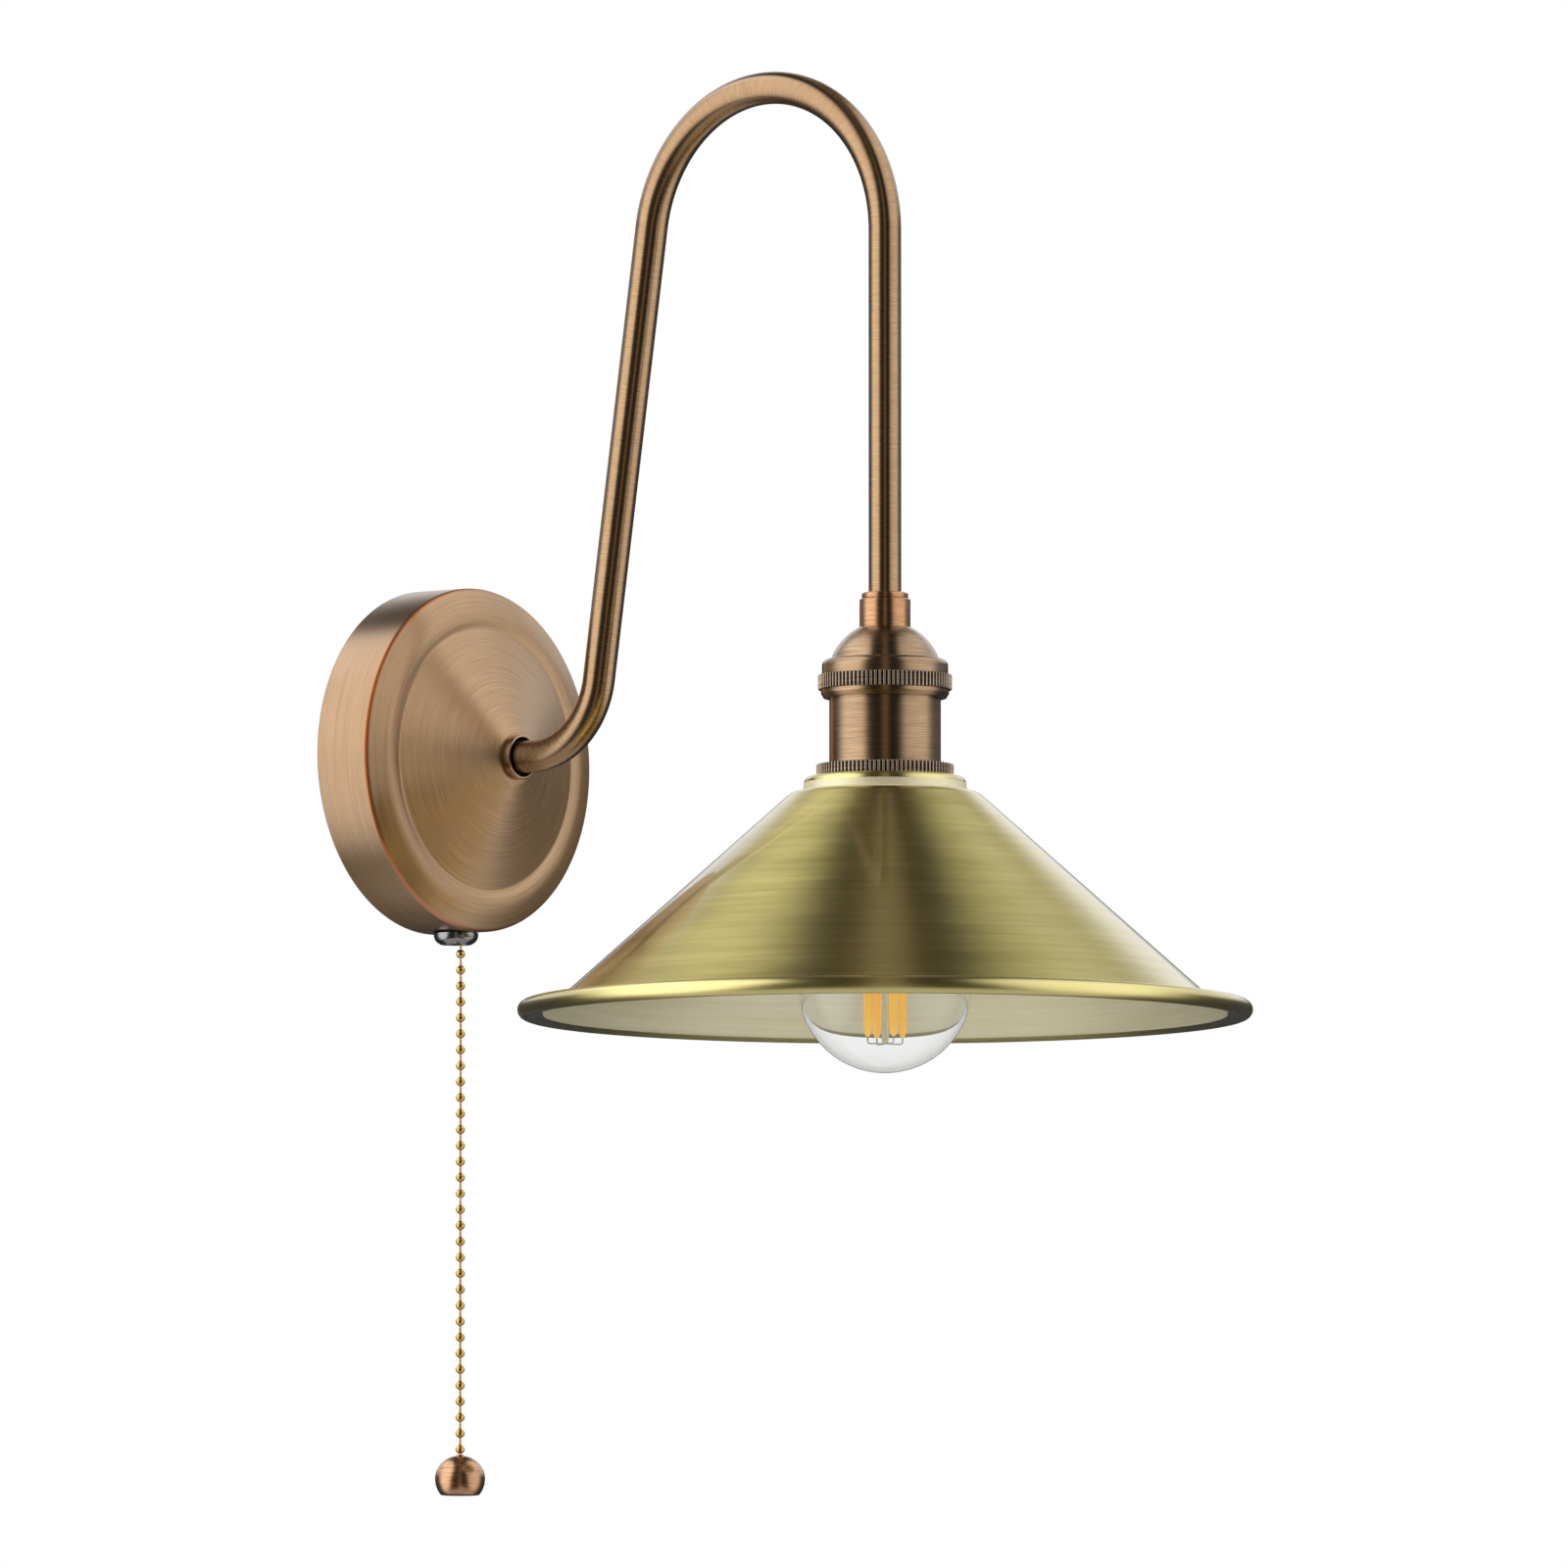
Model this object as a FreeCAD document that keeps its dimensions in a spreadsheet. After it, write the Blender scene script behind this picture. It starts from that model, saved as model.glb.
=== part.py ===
import FreeCAD, Part
import math
import os
import Sketcher

# A wall lamp with a swan-neck arm, a cone shade and a pull-chain switch.
# Frame: origin on the wall at the middle of the bracket's slots, +Z up, the lamp stands out
# towards -Y, the arm lies in the plane x = 0. Lengths in millimetres, angles in degrees.

Vector = FreeCAD.Vector
Placement = FreeCAD.Placement
Rotation = FreeCAD.Rotation

SIZES = {
    # backplate: a spun cup with a raised cone, open to the wall
    "plate_radius": 45.2,
    "plate_wall": 1.2,
    "plate_side_depth": 17.0,
    "plate_edge_round": 1.4,
    "plate_crest_inset": 7.2,
    "plate_crest_depth": 19.9,
    "plate_crest_round": 9.0,
    "groove_inset": 10.6,
    "groove_depth": 19.2,
    "groove_round": 2.0,
    "apex_depth": 30.0,
    "apex_flat_radius": 6.8,
    "apex_round": 4.0,
    # wall bracket: a bent strap behind the plate
    "strap_width": 16.0,
    "strap_thickness": 1.5,
    "ear_gap": 1.3,
    "ear_height": 13.0,
    "slot_offset": 29.0,
    "slot_length": 10.0,
    "slot_half_width": 2.2,
    "hook_tab_length": 3.5,
    "hook_tab_width": 10.0,
    "hook_tab_thickness": 1.2,
    "hook_tab_depth": 0.6,
    "hook_gap": 0.3,
    "side_screw_depth": 8.0,
    "side_screw_radius": 1.95,
    "side_screw_length": 6.0,
    "side_screw_head_radius": 3.6,
    "side_screw_head_height": 2.2,
    "screw_slot_width": 0.8,
    "screw_slot_depth": 0.9,
    "thread_gap": 0.05,
    "hole_gap": 0.15,
    # arm: one bent tube
    "arm_radius": 4.25,
    "arm_wall": 1.0,
    "arm_start_depth": 19.0,
    "arm_end_height": 29.0,
    "arm_lean": 8.7,
    "low_bend_radius": 22.5,
    "arm_stub_length": 3.73,
    "arch_centre_height": 130.6,
    "projection": 155.5,
    "arm_fit": 0.1,
    # collar, washer and nut that hold the arm on the plate
    "collar_radius": 5.9,
    "collar_height": 2.4,
    "collar_rim": 0.55,
    "collar_cup_depth": 1.4,
    "washer_radius": 6.0,
    "washer_thickness": 1.0,
    "lock_nut_flats": 12.0,
    "lock_nut_height": 3.5,
    # earth point and terminal block
    "earth_offset": 18.0,
    "earth_screw_radius": 1.9,
    "earth_head_radius": 3.3,
    "earth_head_height": 2.0,
    "tag_radius": 3.6,
    "tag_thickness": 0.8,
    "tag_tongue_length": 5.6,
    "tag_barrel_radius": 1.3,
    "tag_barrel_start": 3.7,
    "tag_barrel_reach": 7.4,
    "block_offset": 6.0,
    "block_length": 14.0,
    "block_width": 14.0,
    "block_height": 10.0,
    "pole_offset": 4.0,
    "well_radius": 1.8,
    "well_depth": 3.5,
    "clamp_screw_radius": 1.6,
    "clamp_screw_height": 2.6,
    "clamp_row_offset": 3.6,
    # pull switch
    "switch_depth": 9.2,
    "chain_depth": 10.8,
    "switch_half_width": 10.0,
    "switch_wall_gap": 2.0,
    "switch_height": 18.0,
    "switch_back": 2.8,
    "switch_front": 15.2,
    "switch_cover_thickness": 1.2,
    "switch_wall": 0.8,
    "cavity_half_width": 5.6,
    "cavity_roof": 2.0,
    "cavity_floor": 1.5,
    "neck_radius": 4.0,
    "neck_bore_radius": 3.3,
    "neck_reach": 2.0,
    "switch_nut_flats": 12.0,
    "switch_nut_height": 1.4,
    "bush_radius": 5.85,
    "bush_flange": 0.6,
    "bush_height": 3.1,
    "bush_mouth_radius": 4.1,
    "slider_height": 3.7,
    "slider_gap": 0.4,
    "spring_outer_radius": 5.0,
    "spring_inner_radius": 4.2,
    # bead chain and knob
    "bead_radius": 1.2,
    "bead_pitch": 4.2,
    "link_radius": 0.3,
    "pivot_gap": 5.57,
    "inner_bead_count": 4,
    "upper_bead_count": 14,
    "lower_bead_count": 16,
    "bead_face_count": 8,
    "knob_radius": 6.56,
    "knob_height": 10.45,
    "knob_shoulder_radius": 6.9,
    "knob_equator_drop": 6.2,
    "knob_tip_radius": 1.1,
    "knob_neck_radius": 0.8,
    "knob_neck_length": 0.25,
    "bead_gap": 0.12,
    # lamp holder, heights from the arm's axis
    "ferrule_ring_radius": 6.02,
    "ferrule_ring_height": 1.6,
    "ferrule_ring_round": 0.45,
    "ferrule_radius": 6.6,
    "ferrule_height": 7.6,
    "ferrule_base_height": 27.0,
    "dome_radius": 14.8,
    "dome_centre_height": 14.0,
    "dome_wall": 0.8,
    "clamp_flange_radius": 15.2,
    "clamp_flange_thickness": 1.2,
    "dome_flange_height": 16.2,
    "cap_ring_top_height": 18.9,
    "lip_radius": 16.35,
    "lip_round": 1.7,
    "lip_height": 4.15,
    "knurl_radius": 17.35,
    "knurl_height": 3.9,
    "cap_ring_skirt_radius": 16.6,
    "cap_ring_skirt_height": 1.0,
    "cap_ring_foot_radius": 15.9,
    "cap_ring_foot_height": 1.15,
    "ring_fit": 0.15,
    "knurl_depth": 0.75,
    "knurl_groove_width": 0.62,
    "knurl_count": 92,
    "stop_knurl_count": 94,
    "barrel_radius": 14.45,
    "barrel_shoulder_height": -8.5,
    "barrel_thread_radius": 14.0,
    "barrel_inner_radius": 13.3,
    "barrel_foot_height": -33.5,
    "stop_ring_radius": 17.8,
    "stop_ring_height": 3.0,
    "insulator_gap": 0.2,
    "insulator_foot_height": -27.0,
    "terminal_recess_radius": 9.5,
    "terminal_recess_floor": 6.0,
    "socket_roof_height": -8.5,
    "shell_radius": 7.25,
    "shell_wall": 0.4,
    "shell_top_height": -12.0,
    "contact_radius": 2.5,
    "contact_thickness": 1.7,
    "holder_screw_radius": 1.6,
    "holder_screw_height": 3.0,
    "holder_screw_offset": 6.0,
    # shade: a spun cone with a stepped crown and a rolled rim
    "shade_wall": 0.8,
    "shade_hole_gap": 0.3,
    "shade_top_height": -11.5,
    "crown_radius": 20.8,
    "crown_flare": 0.45,
    "crown_round": 2.0,
    "crown_foot_height": -15.4,
    "crown_foot_round": 0.6,
    "shoulder_round": 5.0,
    "cone_slope": 1.1217,
    "cone_tip_height": 5.88,
    "bead_ring_radius": 92.8,
    "bead_ring_lift": 4.75,
    "bead_section_radius": 2.3,
    "rim_lead_angle": 12.0,
    "rim_lead_round": 8.0,
    "curl_end_angle": 198.0,
    "retaining_ring_radius": 17.4,
    "retaining_ring_height": 3.4,
    "retaining_notch_width": 3.0,
    "retaining_notch_depth": 1.4,
    "retaining_notch_count": 6,
    # bulb: small globe with a screw cap
    "globe_radius": 22.5,
    "globe_height": -65.9,
    "glass_wall": 0.6,
    "glass_neck_radius": 6.3,
    "glass_neck_height": -31.0,
    "glass_top_height": -22.0,
    "cap_radius": 6.95,
    "cap_wall": 0.4,
    "cap_foot_height": -29.4,
    "cap_shoulder_height": -14.6,
    "cap_roof_height": -13.0,
    "cap_roof_radius": 4.6,
    "tip_radius": 2.4,
    "tip_height": -10.4,
    "tip_base_height": -12.4,
    "stem_radius": 2.4,
    "stem_tip_radius": 1.0,
    "stem_foot_height": -46.0,
    "stem_end_height": -81.0,
    "filament_radius": 1.15,
    "filament_ring_radius": 5.0,
    "filament_top_height": -52.0,
    "filament_foot_height": -79.3,
    "filament_bearing": -25.0,
    "filament_count": 4,
    "frame_wire_radius": 0.25,
    "frame_wire_drop": 1.6,
    # wires
    "flex_radius": 2.5,
    "flex_start_depth": 17.0,
    "flex_end_height": 24.0,
    "core_radius": 0.8,
    "core_straight": 8.0,
}


class Size:
    """A number that remembers the sheet formula it comes from."""

    def __init__(self, value, formula=None):
        self.value = float(value)
        self.formula = formula if formula else repr(float(value))

    def __add__(self, other):
        other = as_size(other)
        return Size(self.value + other.value, "(%s + %s)" % (self.formula, other.formula))

    def __sub__(self, other):
        other = as_size(other)
        return Size(self.value - other.value, "(%s - %s)" % (self.formula, other.formula))

    def __mul__(self, other):
        other = as_size(other)
        return Size(self.value * other.value, "(%s * %s)" % (self.formula, other.formula))

    def __truediv__(self, other):
        other = as_size(other)
        return Size(self.value / other.value, "(%s / %s)" % (self.formula, other.formula))

    def __neg__(self):
        return Size(-self.value, "(0 - %s)" % self.formula)

    __radd__ = __add__
    __rmul__ = __mul__


def as_size(number):
    return number if isinstance(number, Size) else Size(number)


def root(size):
    return Size(math.sqrt(size.value), "sqrt(%s)" % size.formula)


def sine(size):
    return Size(math.sin(math.radians(size.value)), "sin(%s)" % size.formula)


def cosine(size):
    return Size(math.cos(math.radians(size.value)), "cos(%s)" % size.formula)


def tangent(size):
    return Size(math.tan(math.radians(size.value)), "tan(%s)" % size.formula)


def chord_height(radius, across):
    """Height of a circle's point above its centre, at a distance across."""
    return root(radius * radius - across * across)


class Sheet:
    """The spreadsheet of driving sizes: sheet.name gives the Size called name."""

    def __init__(self, doc, sizes):
        self.cells = doc.addObject("Spreadsheet::Sheet", "Sizes")
        for row, (name, value) in enumerate(sizes.items(), start=1):
            self.cells.set("A%d" % row, name)
            self.cells.set("B%d" % row, str(value))
            self.cells.setAlias("B%d" % row, name)
        doc.recompute()

    def __getattr__(self, name):
        return Size(self.cells.get(name), "Sizes.%s" % name)


DOC = FreeCAD.newDocument("WallLamp")
S = Sheet(DOC, SIZES)
NODES = []


def keep(label, shape_object):
    """Names a finished sub-part and puts it on the list to write."""
    shape_object.Label = label
    NODES.append(shape_object)
    return shape_object


def bind(owner, prop, size):
    owner.setExpression(prop, as_size(size).formula)


def place(owner, x=0, y=0, z=0, rotation=Rotation()):
    """Puts a sub-part down, each coordinate bound to its sizes."""
    owner.Placement = Placement(Vector(as_size(x).value, as_size(y).value, as_size(z).value), rotation)
    for axis, size in (("x", x), ("y", y), ("z", z)):
        if isinstance(size, Size):
            bind(owner, "Placement.Base." + axis, size)


TO_WALL_AXIS = Rotation(Vector(1, 0, 0), 90)
TO_SIDE_AXIS = Rotation(Vector(0, 1, 0), 90)


def on_holder(body, height=0):
    place(body, 0, -S.projection, height)


def on_plate(body, x=0, up=0, depth=0):
    """Local +Z becomes the way out of the wall."""
    place(body, x, -as_size(depth), up, TO_WALL_AXIS)


# ---- profiles: corners joined by lines and arcs, every corner held by two sizes ----

def sketch_in(body, plane_role, name, lift=None):
    sketch = body.newObject("Sketcher::SketchObject", name)
    plane = [item for item in body.Origin.OriginFeatures if item.Role == plane_role][0]
    sketch.AttachmentSupport = (plane, [""])
    sketch.MapMode = "FlatFace"
    if lift is not None:
        sketch.AttachmentOffset = Placement(Vector(0, 0, lift.value), Rotation())
        bind(sketch, "AttachmentOffset.Base.z", lift)
    return sketch


def hold(sketch, kind, where, size):
    """Adds one dimension and binds it to its size."""
    size = as_size(size)
    index = sketch.addConstraint(Sketcher.Constraint(kind, *where, size.value))
    if "Sizes" in size.formula:
        sketch.setExpression("Constraints[%d]" % index, size.formula)


def hold_point(sketch, geometry, end, x, y):
    hold(sketch, "DistanceX", (geometry, end), x)
    hold(sketch, "DistanceY", (geometry, end), y)


def arc_through(first, last, centre, leftward):
    """An arc from first to last, and which of its ends each one is."""
    radius = (first - centre).Length
    low, high = (first, last) if leftward else (last, first)
    start = math.atan2(low.y - centre.y, low.x - centre.x)
    stop = math.atan2(high.y - centre.y, high.x - centre.x)
    if stop <= start:
        stop += 2 * math.pi
    circle = Part.Circle(centre, Vector(0, 0, 1), radius)
    return Part.ArcOfCircle(circle, start, stop), (1, 2) if leftward else (2, 1)


def arc_centre(first, last, radius, leftward, long_way):
    middle = (first + last) * 0.5
    along = last - first
    height = math.sqrt(max(radius * radius - along.Length ** 2 / 4, 0))
    left = Vector(-along.y, along.x, 0).normalize()
    side = 1 if leftward != long_way else -1
    return middle + left * (height * side)


def at(x, y, radius=None):
    """A corner, rounded where it has a radius."""
    return {"x": as_size(x), "y": as_size(y), "round": radius, "arc": None}


def bend_from(x, y, radius, leftward, long_way=False):
    """A corner from which an arc runs to the next corner."""
    return {"x": as_size(x), "y": as_size(y), "round": None, "arc": (as_size(radius), leftward, long_way)}


def trace(sketch, corners):
    """Draws a closed outline through the corners."""
    count = len(corners)
    points = [Vector(c["x"].value, c["y"].value, 0) for c in corners]
    leave, arrive, fillets = list(points), list(points), {}
    for i, corner in enumerate(corners):
        if corner["round"] is None:
            continue
        back = (points[i - 1] - points[i]).normalize()
        ahead = (points[(i + 1) % count] - points[i]).normalize()
        half = back.getAngle(ahead) / 2
        radius = as_size(corner["round"])
        reach = radius.value / math.tan(half)
        arrive[i] = points[i] + back * reach
        leave[i] = points[i] + ahead * reach
        centre = points[i] + (back + ahead).normalize() * (radius.value / math.sin(half))
        fillets[i] = (centre, ahead.cross(back).z > 0, radius)
    ends = []
    for i, corner in enumerate(corners):
        last = arrive[(i + 1) % count]
        if corner["arc"]:
            radius, leftward, long_way = corner["arc"]
            centre = arc_centre(leave[i], last, radius.value, leftward, long_way)
            arc, marks = arc_through(leave[i], last, centre, leftward)
            index = sketch.addGeometry(arc, False)
            hold(sketch, "Radius", (index,), radius)
        else:
            index = sketch.addGeometry(Part.LineSegment(leave[i], last), False)
            marks = (1, 2)
        ends.append((index, marks))
    for i, corner in enumerate(corners):
        before, before_marks = ends[i - 1]
        after, after_marks = ends[i]
        if i in fillets:
            centre, leftward, radius = fillets[i]
            arc, marks = arc_through(arrive[i], leave[i], centre, leftward)
            index = sketch.addGeometry(arc, False)
            point = sketch.addGeometry(Part.Point(points[i]), True)
            hold_point(sketch, point, 1, corner["x"], corner["y"])
            sketch.addConstraint(Sketcher.Constraint("PointOnObject", point, 1, before))
            sketch.addConstraint(Sketcher.Constraint("PointOnObject", point, 1, after))
            sketch.addConstraint(Sketcher.Constraint("Tangent", before, before_marks[1], index, marks[0]))
            sketch.addConstraint(Sketcher.Constraint("Tangent", index, marks[1], after, after_marks[0]))
            hold(sketch, "Radius", (index,), radius)
        else:
            sketch.addConstraint(
                Sketcher.Constraint("Coincident", before, before_marks[1], after, after_marks[0]))
            hold_point(sketch, after, after_marks[0], corner["x"], corner["y"])


def ring_mark(sketch, x, y, radius):
    """Draws a circle."""
    centre = Vector(as_size(x).value, as_size(y).value, 0)
    index = sketch.addGeometry(Part.Circle(centre, Vector(0, 0, 1), as_size(radius).value), False)
    hold_point(sketch, index, 3, x, y)
    hold(sketch, "Radius", (index,), radius)


def slot_mark(sketch, x, reach, radius):
    """Draws a round-ended slot along X, reach being half its straight part."""
    x, reach, radius = as_size(x), as_size(reach), as_size(radius)
    left, right = Vector((x - reach).value, 0, 0), Vector((x + reach).value, 0, 0)
    up, axis = Vector(0, radius.value, 0), Vector(0, 0, 1)
    quarter = math.pi / 2
    foot = sketch.addGeometry(Part.LineSegment(left - up, right - up), False)
    end = sketch.addGeometry(Part.ArcOfCircle(Part.Circle(right, axis, radius.value), -quarter, quarter), False)
    head = sketch.addGeometry(Part.LineSegment(right + up, left + up), False)
    tail = sketch.addGeometry(Part.ArcOfCircle(Part.Circle(left, axis, radius.value), quarter, 3 * quarter), False)
    for first, second in ((foot, end), (end, head), (head, tail), (tail, foot)):
        sketch.addConstraint(Sketcher.Constraint("Tangent", first, 2, second, 1))
    hold_point(sketch, end, 3, x + reach, 0)
    hold_point(sketch, tail, 3, x - reach, 0)
    hold(sketch, "Radius", (end,), radius)


# ---- features ----

def new_body(name):
    return DOC.addObject("PartDesign::Body", name)


def turn(body, corners, name="turned", plane="XZ_Plane"):
    """Revolves an outline (distance from the axis, height) about the body's Z axis."""
    sketch = sketch_in(body, plane, name + "_outline")
    trace(sketch, corners)
    feature = body.newObject("PartDesign::Revolution", name)
    feature.Profile = sketch
    feature.ReferenceAxis = (sketch, ["V_Axis"])
    feature.Angle = 360.0
    body.Tip = feature
    return feature


def turned(label, corners):
    body = new_body(label)
    turn(body, corners, label + "_turned")
    return keep(label, body)


def pad(body, sketch, length, name, middle=False, reverse=False):
    feature = body.newObject("PartDesign::Pad", name)
    feature.Profile = sketch
    bind(feature, "Length", length)
    feature.Midplane = middle
    feature.Reversed = reverse
    body.Tip = feature
    return feature


def pocket(body, sketch, name, length=None, reverse=False):
    """Cuts an outline to a depth, or right through when no depth is given."""
    feature = body.newObject("PartDesign::Pocket", name)
    feature.Profile = sketch
    if length is None:
        feature.Type = "ThroughAll"
    else:
        bind(feature, "Length", length)
    feature.Reversed = reverse
    body.Tip = feature
    return feature


def repeat_round(body, feature, count, name):
    """Repeats a feature round the body's Z axis."""
    pattern = body.newObject("PartDesign::PolarPattern", name)
    pattern.Originals = [feature]
    pattern.Axis = (feature.Profile[0], ["N_Axis"])
    pattern.Angle = 360.0
    bind(pattern, "Occurrences", count)
    body.Tip = pattern
    return pattern


def hexagon(flats):
    """Corners of a hexagon with two flats across X."""
    half = flats / 2
    long_reach = flats / root(Size(3))
    short_reach = long_reach / 2
    return [at(half, -short_reach), at(half, short_reach), at(0, long_reach),
            at(-half, short_reach), at(-half, -short_reach), at(0, -long_reach)]


def hex_nut(label, flats, height, bore):
    body = new_body(label)
    outline = sketch_in(body, "XY_Plane", label + "_hexagon")
    trace(outline, hexagon(flats))
    ring_mark(outline, 0, 0, bore)
    pad(body, outline, height, label + "_pad")
    return keep(label, body)


def tube_ring(label, inner, outer, low, high):
    """A plain ring between two radii and two heights."""
    return turned(label, [at(inner, low), at(outer, low), at(outer, high), at(inner, high)])


def knurl(body, radius, depth, width, count, top, height, name):
    """Cuts straight V grooves round a rim, from its top face down."""
    sketch = sketch_in(body, "XY_Plane", name + "_notch", top)
    reach = radius + depth / 2
    half = width / 2
    trace(sketch, [at(radius - depth, half / 3), at(radius - depth, -half / 3),
                   at(reach, -half), at(reach, half)])
    groove = pocket(body, sketch, name + "_groove", height)
    return repeat_round(body, groove, count, name + "_grooves")


# ---- backplate and bracket ----

def make_backplate():
    inner = S.plate_radius - S.plate_wall
    wall = S.plate_wall
    bore = S.arm_radius + S.arm_fit
    crest = S.plate_radius - S.plate_crest_inset
    groove = S.plate_radius - S.groove_inset
    body = new_body("backplate")
    turn(body, [
        at(inner, 0),
        at(S.plate_radius, 0),
        at(S.plate_radius, S.plate_side_depth, S.plate_edge_round),
        at(crest, S.plate_crest_depth, S.plate_crest_round),
        at(groove, S.groove_depth, S.groove_round),
        at(S.apex_flat_radius, S.apex_depth, S.apex_round),
        at(bore, S.apex_depth),
        at(bore, S.apex_depth - wall),
        at(S.apex_flat_radius - wall / 4, S.apex_depth - wall),
        at(groove - wall / 4, S.groove_depth - wall),
        at(crest, S.plate_crest_depth - wall),
        at(inner, S.plate_side_depth - wall),
    ], "cup")
    tab = sketch_in(body, "XY_Plane", "hook_tab_outline", S.hook_tab_depth)
    root_x = -(S.plate_radius - wall / 2)
    tip_x = -(inner - S.hook_tab_length)
    half = S.hook_tab_width / 2
    trace(tab, [at(root_x, -half), at(tip_x, -half), at(tip_x, half), at(root_x, half)])
    pad(body, tab, S.hook_tab_thickness, "hook_tab")
    bush_hole = sketch_in(body, "XZ_Plane", "switch_hole_outline")
    ring_mark(bush_hole, 0, S.switch_depth, S.neck_radius + S.hole_gap)
    pocket(body, bush_hole, "switch_hole", reverse=True)
    screw_hole = sketch_in(body, "YZ_Plane", "side_screw_hole_outline")
    ring_mark(screw_hole, 0, S.side_screw_depth, S.side_screw_radius + S.hole_gap)
    pocket(body, screw_hole, "side_screw_hole", reverse=True)
    on_plate(body)
    keep("backplate", body)


def make_bracket():
    """A strap bent up at both ends: a hook over the plate's tab, and an ear for the side screw."""
    inner = S.plate_radius - S.plate_wall
    thick = S.strap_thickness
    ear_out = inner - S.ear_gap
    hook_low = S.hook_tab_depth + S.hook_tab_thickness + S.hook_gap
    hook_leg = -(inner - S.hook_tab_length - S.hook_gap)
    lip_end = hook_leg - S.hook_tab_length + S.ear_gap
    body = new_body("wall_bracket")
    side = sketch_in(body, "XZ_Plane", "strap_side")
    trace(side, [
        at(hook_leg, 0), at(ear_out, 0), at(ear_out, S.ear_height), at(ear_out - thick, S.ear_height),
        at(ear_out - thick, thick), at(hook_leg + thick, thick), at(hook_leg + thick, hook_low + thick),
        at(lip_end, hook_low + thick), at(lip_end, hook_low), at(hook_leg, hook_low),
    ])
    pad(body, side, S.strap_width, "strap", middle=True)
    slots = sketch_in(body, "XY_Plane", "slots_outline")
    run = S.slot_length / 2 - S.slot_half_width
    for side_sign in (-1, 1):
        slot_mark(slots, S.slot_offset * side_sign, run, S.slot_half_width)
    ring_mark(slots, S.earth_offset, 0, S.earth_screw_radius + S.thread_gap)
    pocket(body, slots, "slots", reverse=True)
    ear_hole = sketch_in(body, "YZ_Plane", "ear_hole_outline")
    ring_mark(ear_hole, 0, S.side_screw_depth, S.side_screw_radius + S.thread_gap)
    pocket(body, ear_hole, "ear_hole", reverse=True)
    on_plate(body)
    keep("wall_bracket", body)


def slotted_screw(label, shank, head, head_height, length):
    """A round-headed screw with a driver slot: the shank hangs below the origin."""
    body = new_body(label)
    turn(body, [
        at(0, -length), at(shank, -length), at(shank, 0), at(head, 0),
        at(head, head_height, head_height * 0.7), at(0, head_height),
    ], label + "_turned")
    slot = sketch_in(body, "XY_Plane", label + "_slot_outline", head_height)
    half = S.screw_slot_width / 2
    reach = head + 1
    trace(slot, [at(-reach, -half), at(reach, -half), at(reach, half), at(-reach, half)])
    pocket(body, slot, label + "_slot", S.screw_slot_depth)
    return keep(label, body)


def make_side_screw():
    screw = slotted_screw("plate_screw", S.side_screw_radius, S.side_screw_head_radius,
                          S.side_screw_head_height, S.side_screw_length)
    place(screw, S.plate_radius, -S.side_screw_depth, 0, TO_SIDE_AXIS)


def make_earth_point():
    tag_top = S.strap_thickness + S.tag_thickness
    screw = slotted_screw("earth_screw", S.earth_screw_radius, S.earth_head_radius,
                          S.earth_head_height, tag_top - 0.2)
    on_plate(screw, S.earth_offset, 0, tag_top)
    body = new_body("earth_tag")
    ring = sketch_in(body, "XY_Plane", "tag_outline")
    ring_mark(ring, 0, 0, S.tag_radius)
    pad(body, ring, S.tag_thickness, "tag_ring")
    tongue = sketch_in(body, "XY_Plane", "tongue_outline")
    half = S.tag_barrel_radius
    trace(tongue, [at(-S.tag_tongue_length, -half), at(0, -half), at(0, half), at(-S.tag_tongue_length, half)])
    pad(body, tongue, S.tag_thickness, "tongue")
    barrel = sketch_in(body, "YZ_Plane", "barrel_outline", -S.tag_barrel_reach)
    ring_mark(barrel, 0, S.tag_barrel_radius + S.thread_gap, S.tag_barrel_radius)
    pad(body, barrel, S.tag_barrel_reach - S.tag_barrel_start, "barrel")
    hole = sketch_in(body, "XY_Plane", "tag_hole_outline")
    ring_mark(hole, 0, 0, S.earth_screw_radius + S.hole_gap)
    pocket(body, hole, "tag_hole", reverse=True)
    on_plate(body, S.earth_offset, 0, S.strap_thickness)
    keep("earth_tag", body)


# ---- arm ----

def bend_start_depth():
    """The stub runs straight out of the collar for a little before the first bend."""
    return S.apex_depth + S.collar_height + S.arm_stub_length


def arch_radius():
    """The arch that is tangent to the leaning leg and to the upright one."""
    reach = S.low_bend_radius * tangent(Size(45) - S.arm_lean / 2)
    run = S.projection - bend_start_depth() - reach
    height = S.arch_centre_height
    return (run * cosine(S.arm_lean) - height * sine(S.arm_lean)) / (cosine(S.arm_lean) + 1)


def arm_route():
    """The arm's centre line in the plane x = 0: tangent points and arc centres."""
    lean = math.radians(S.arm_lean.value)
    bend, arch = S.low_bend_radius.value, arch_radius().value
    out = S.projection.value
    along = Vector(0, -math.sin(lean), math.cos(lean))
    inward = Vector(0, math.cos(lean), math.sin(lean))
    bend_start = Vector(0, -bend_start_depth().value, 0)
    bend_centre = bend_start + Vector(0, 0, bend)
    arch_centre = Vector(0, -(out - arch), S.arch_centre_height.value)
    return {
        "bend_start": bend_start, "bend_centre": bend_centre, "bend_end": bend_centre - inward * bend,
        "arch_start": arch_centre + inward * arch, "arch_centre": arch_centre,
        "arch_end": arch_centre + Vector(0, -arch, 0),
    }


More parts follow.
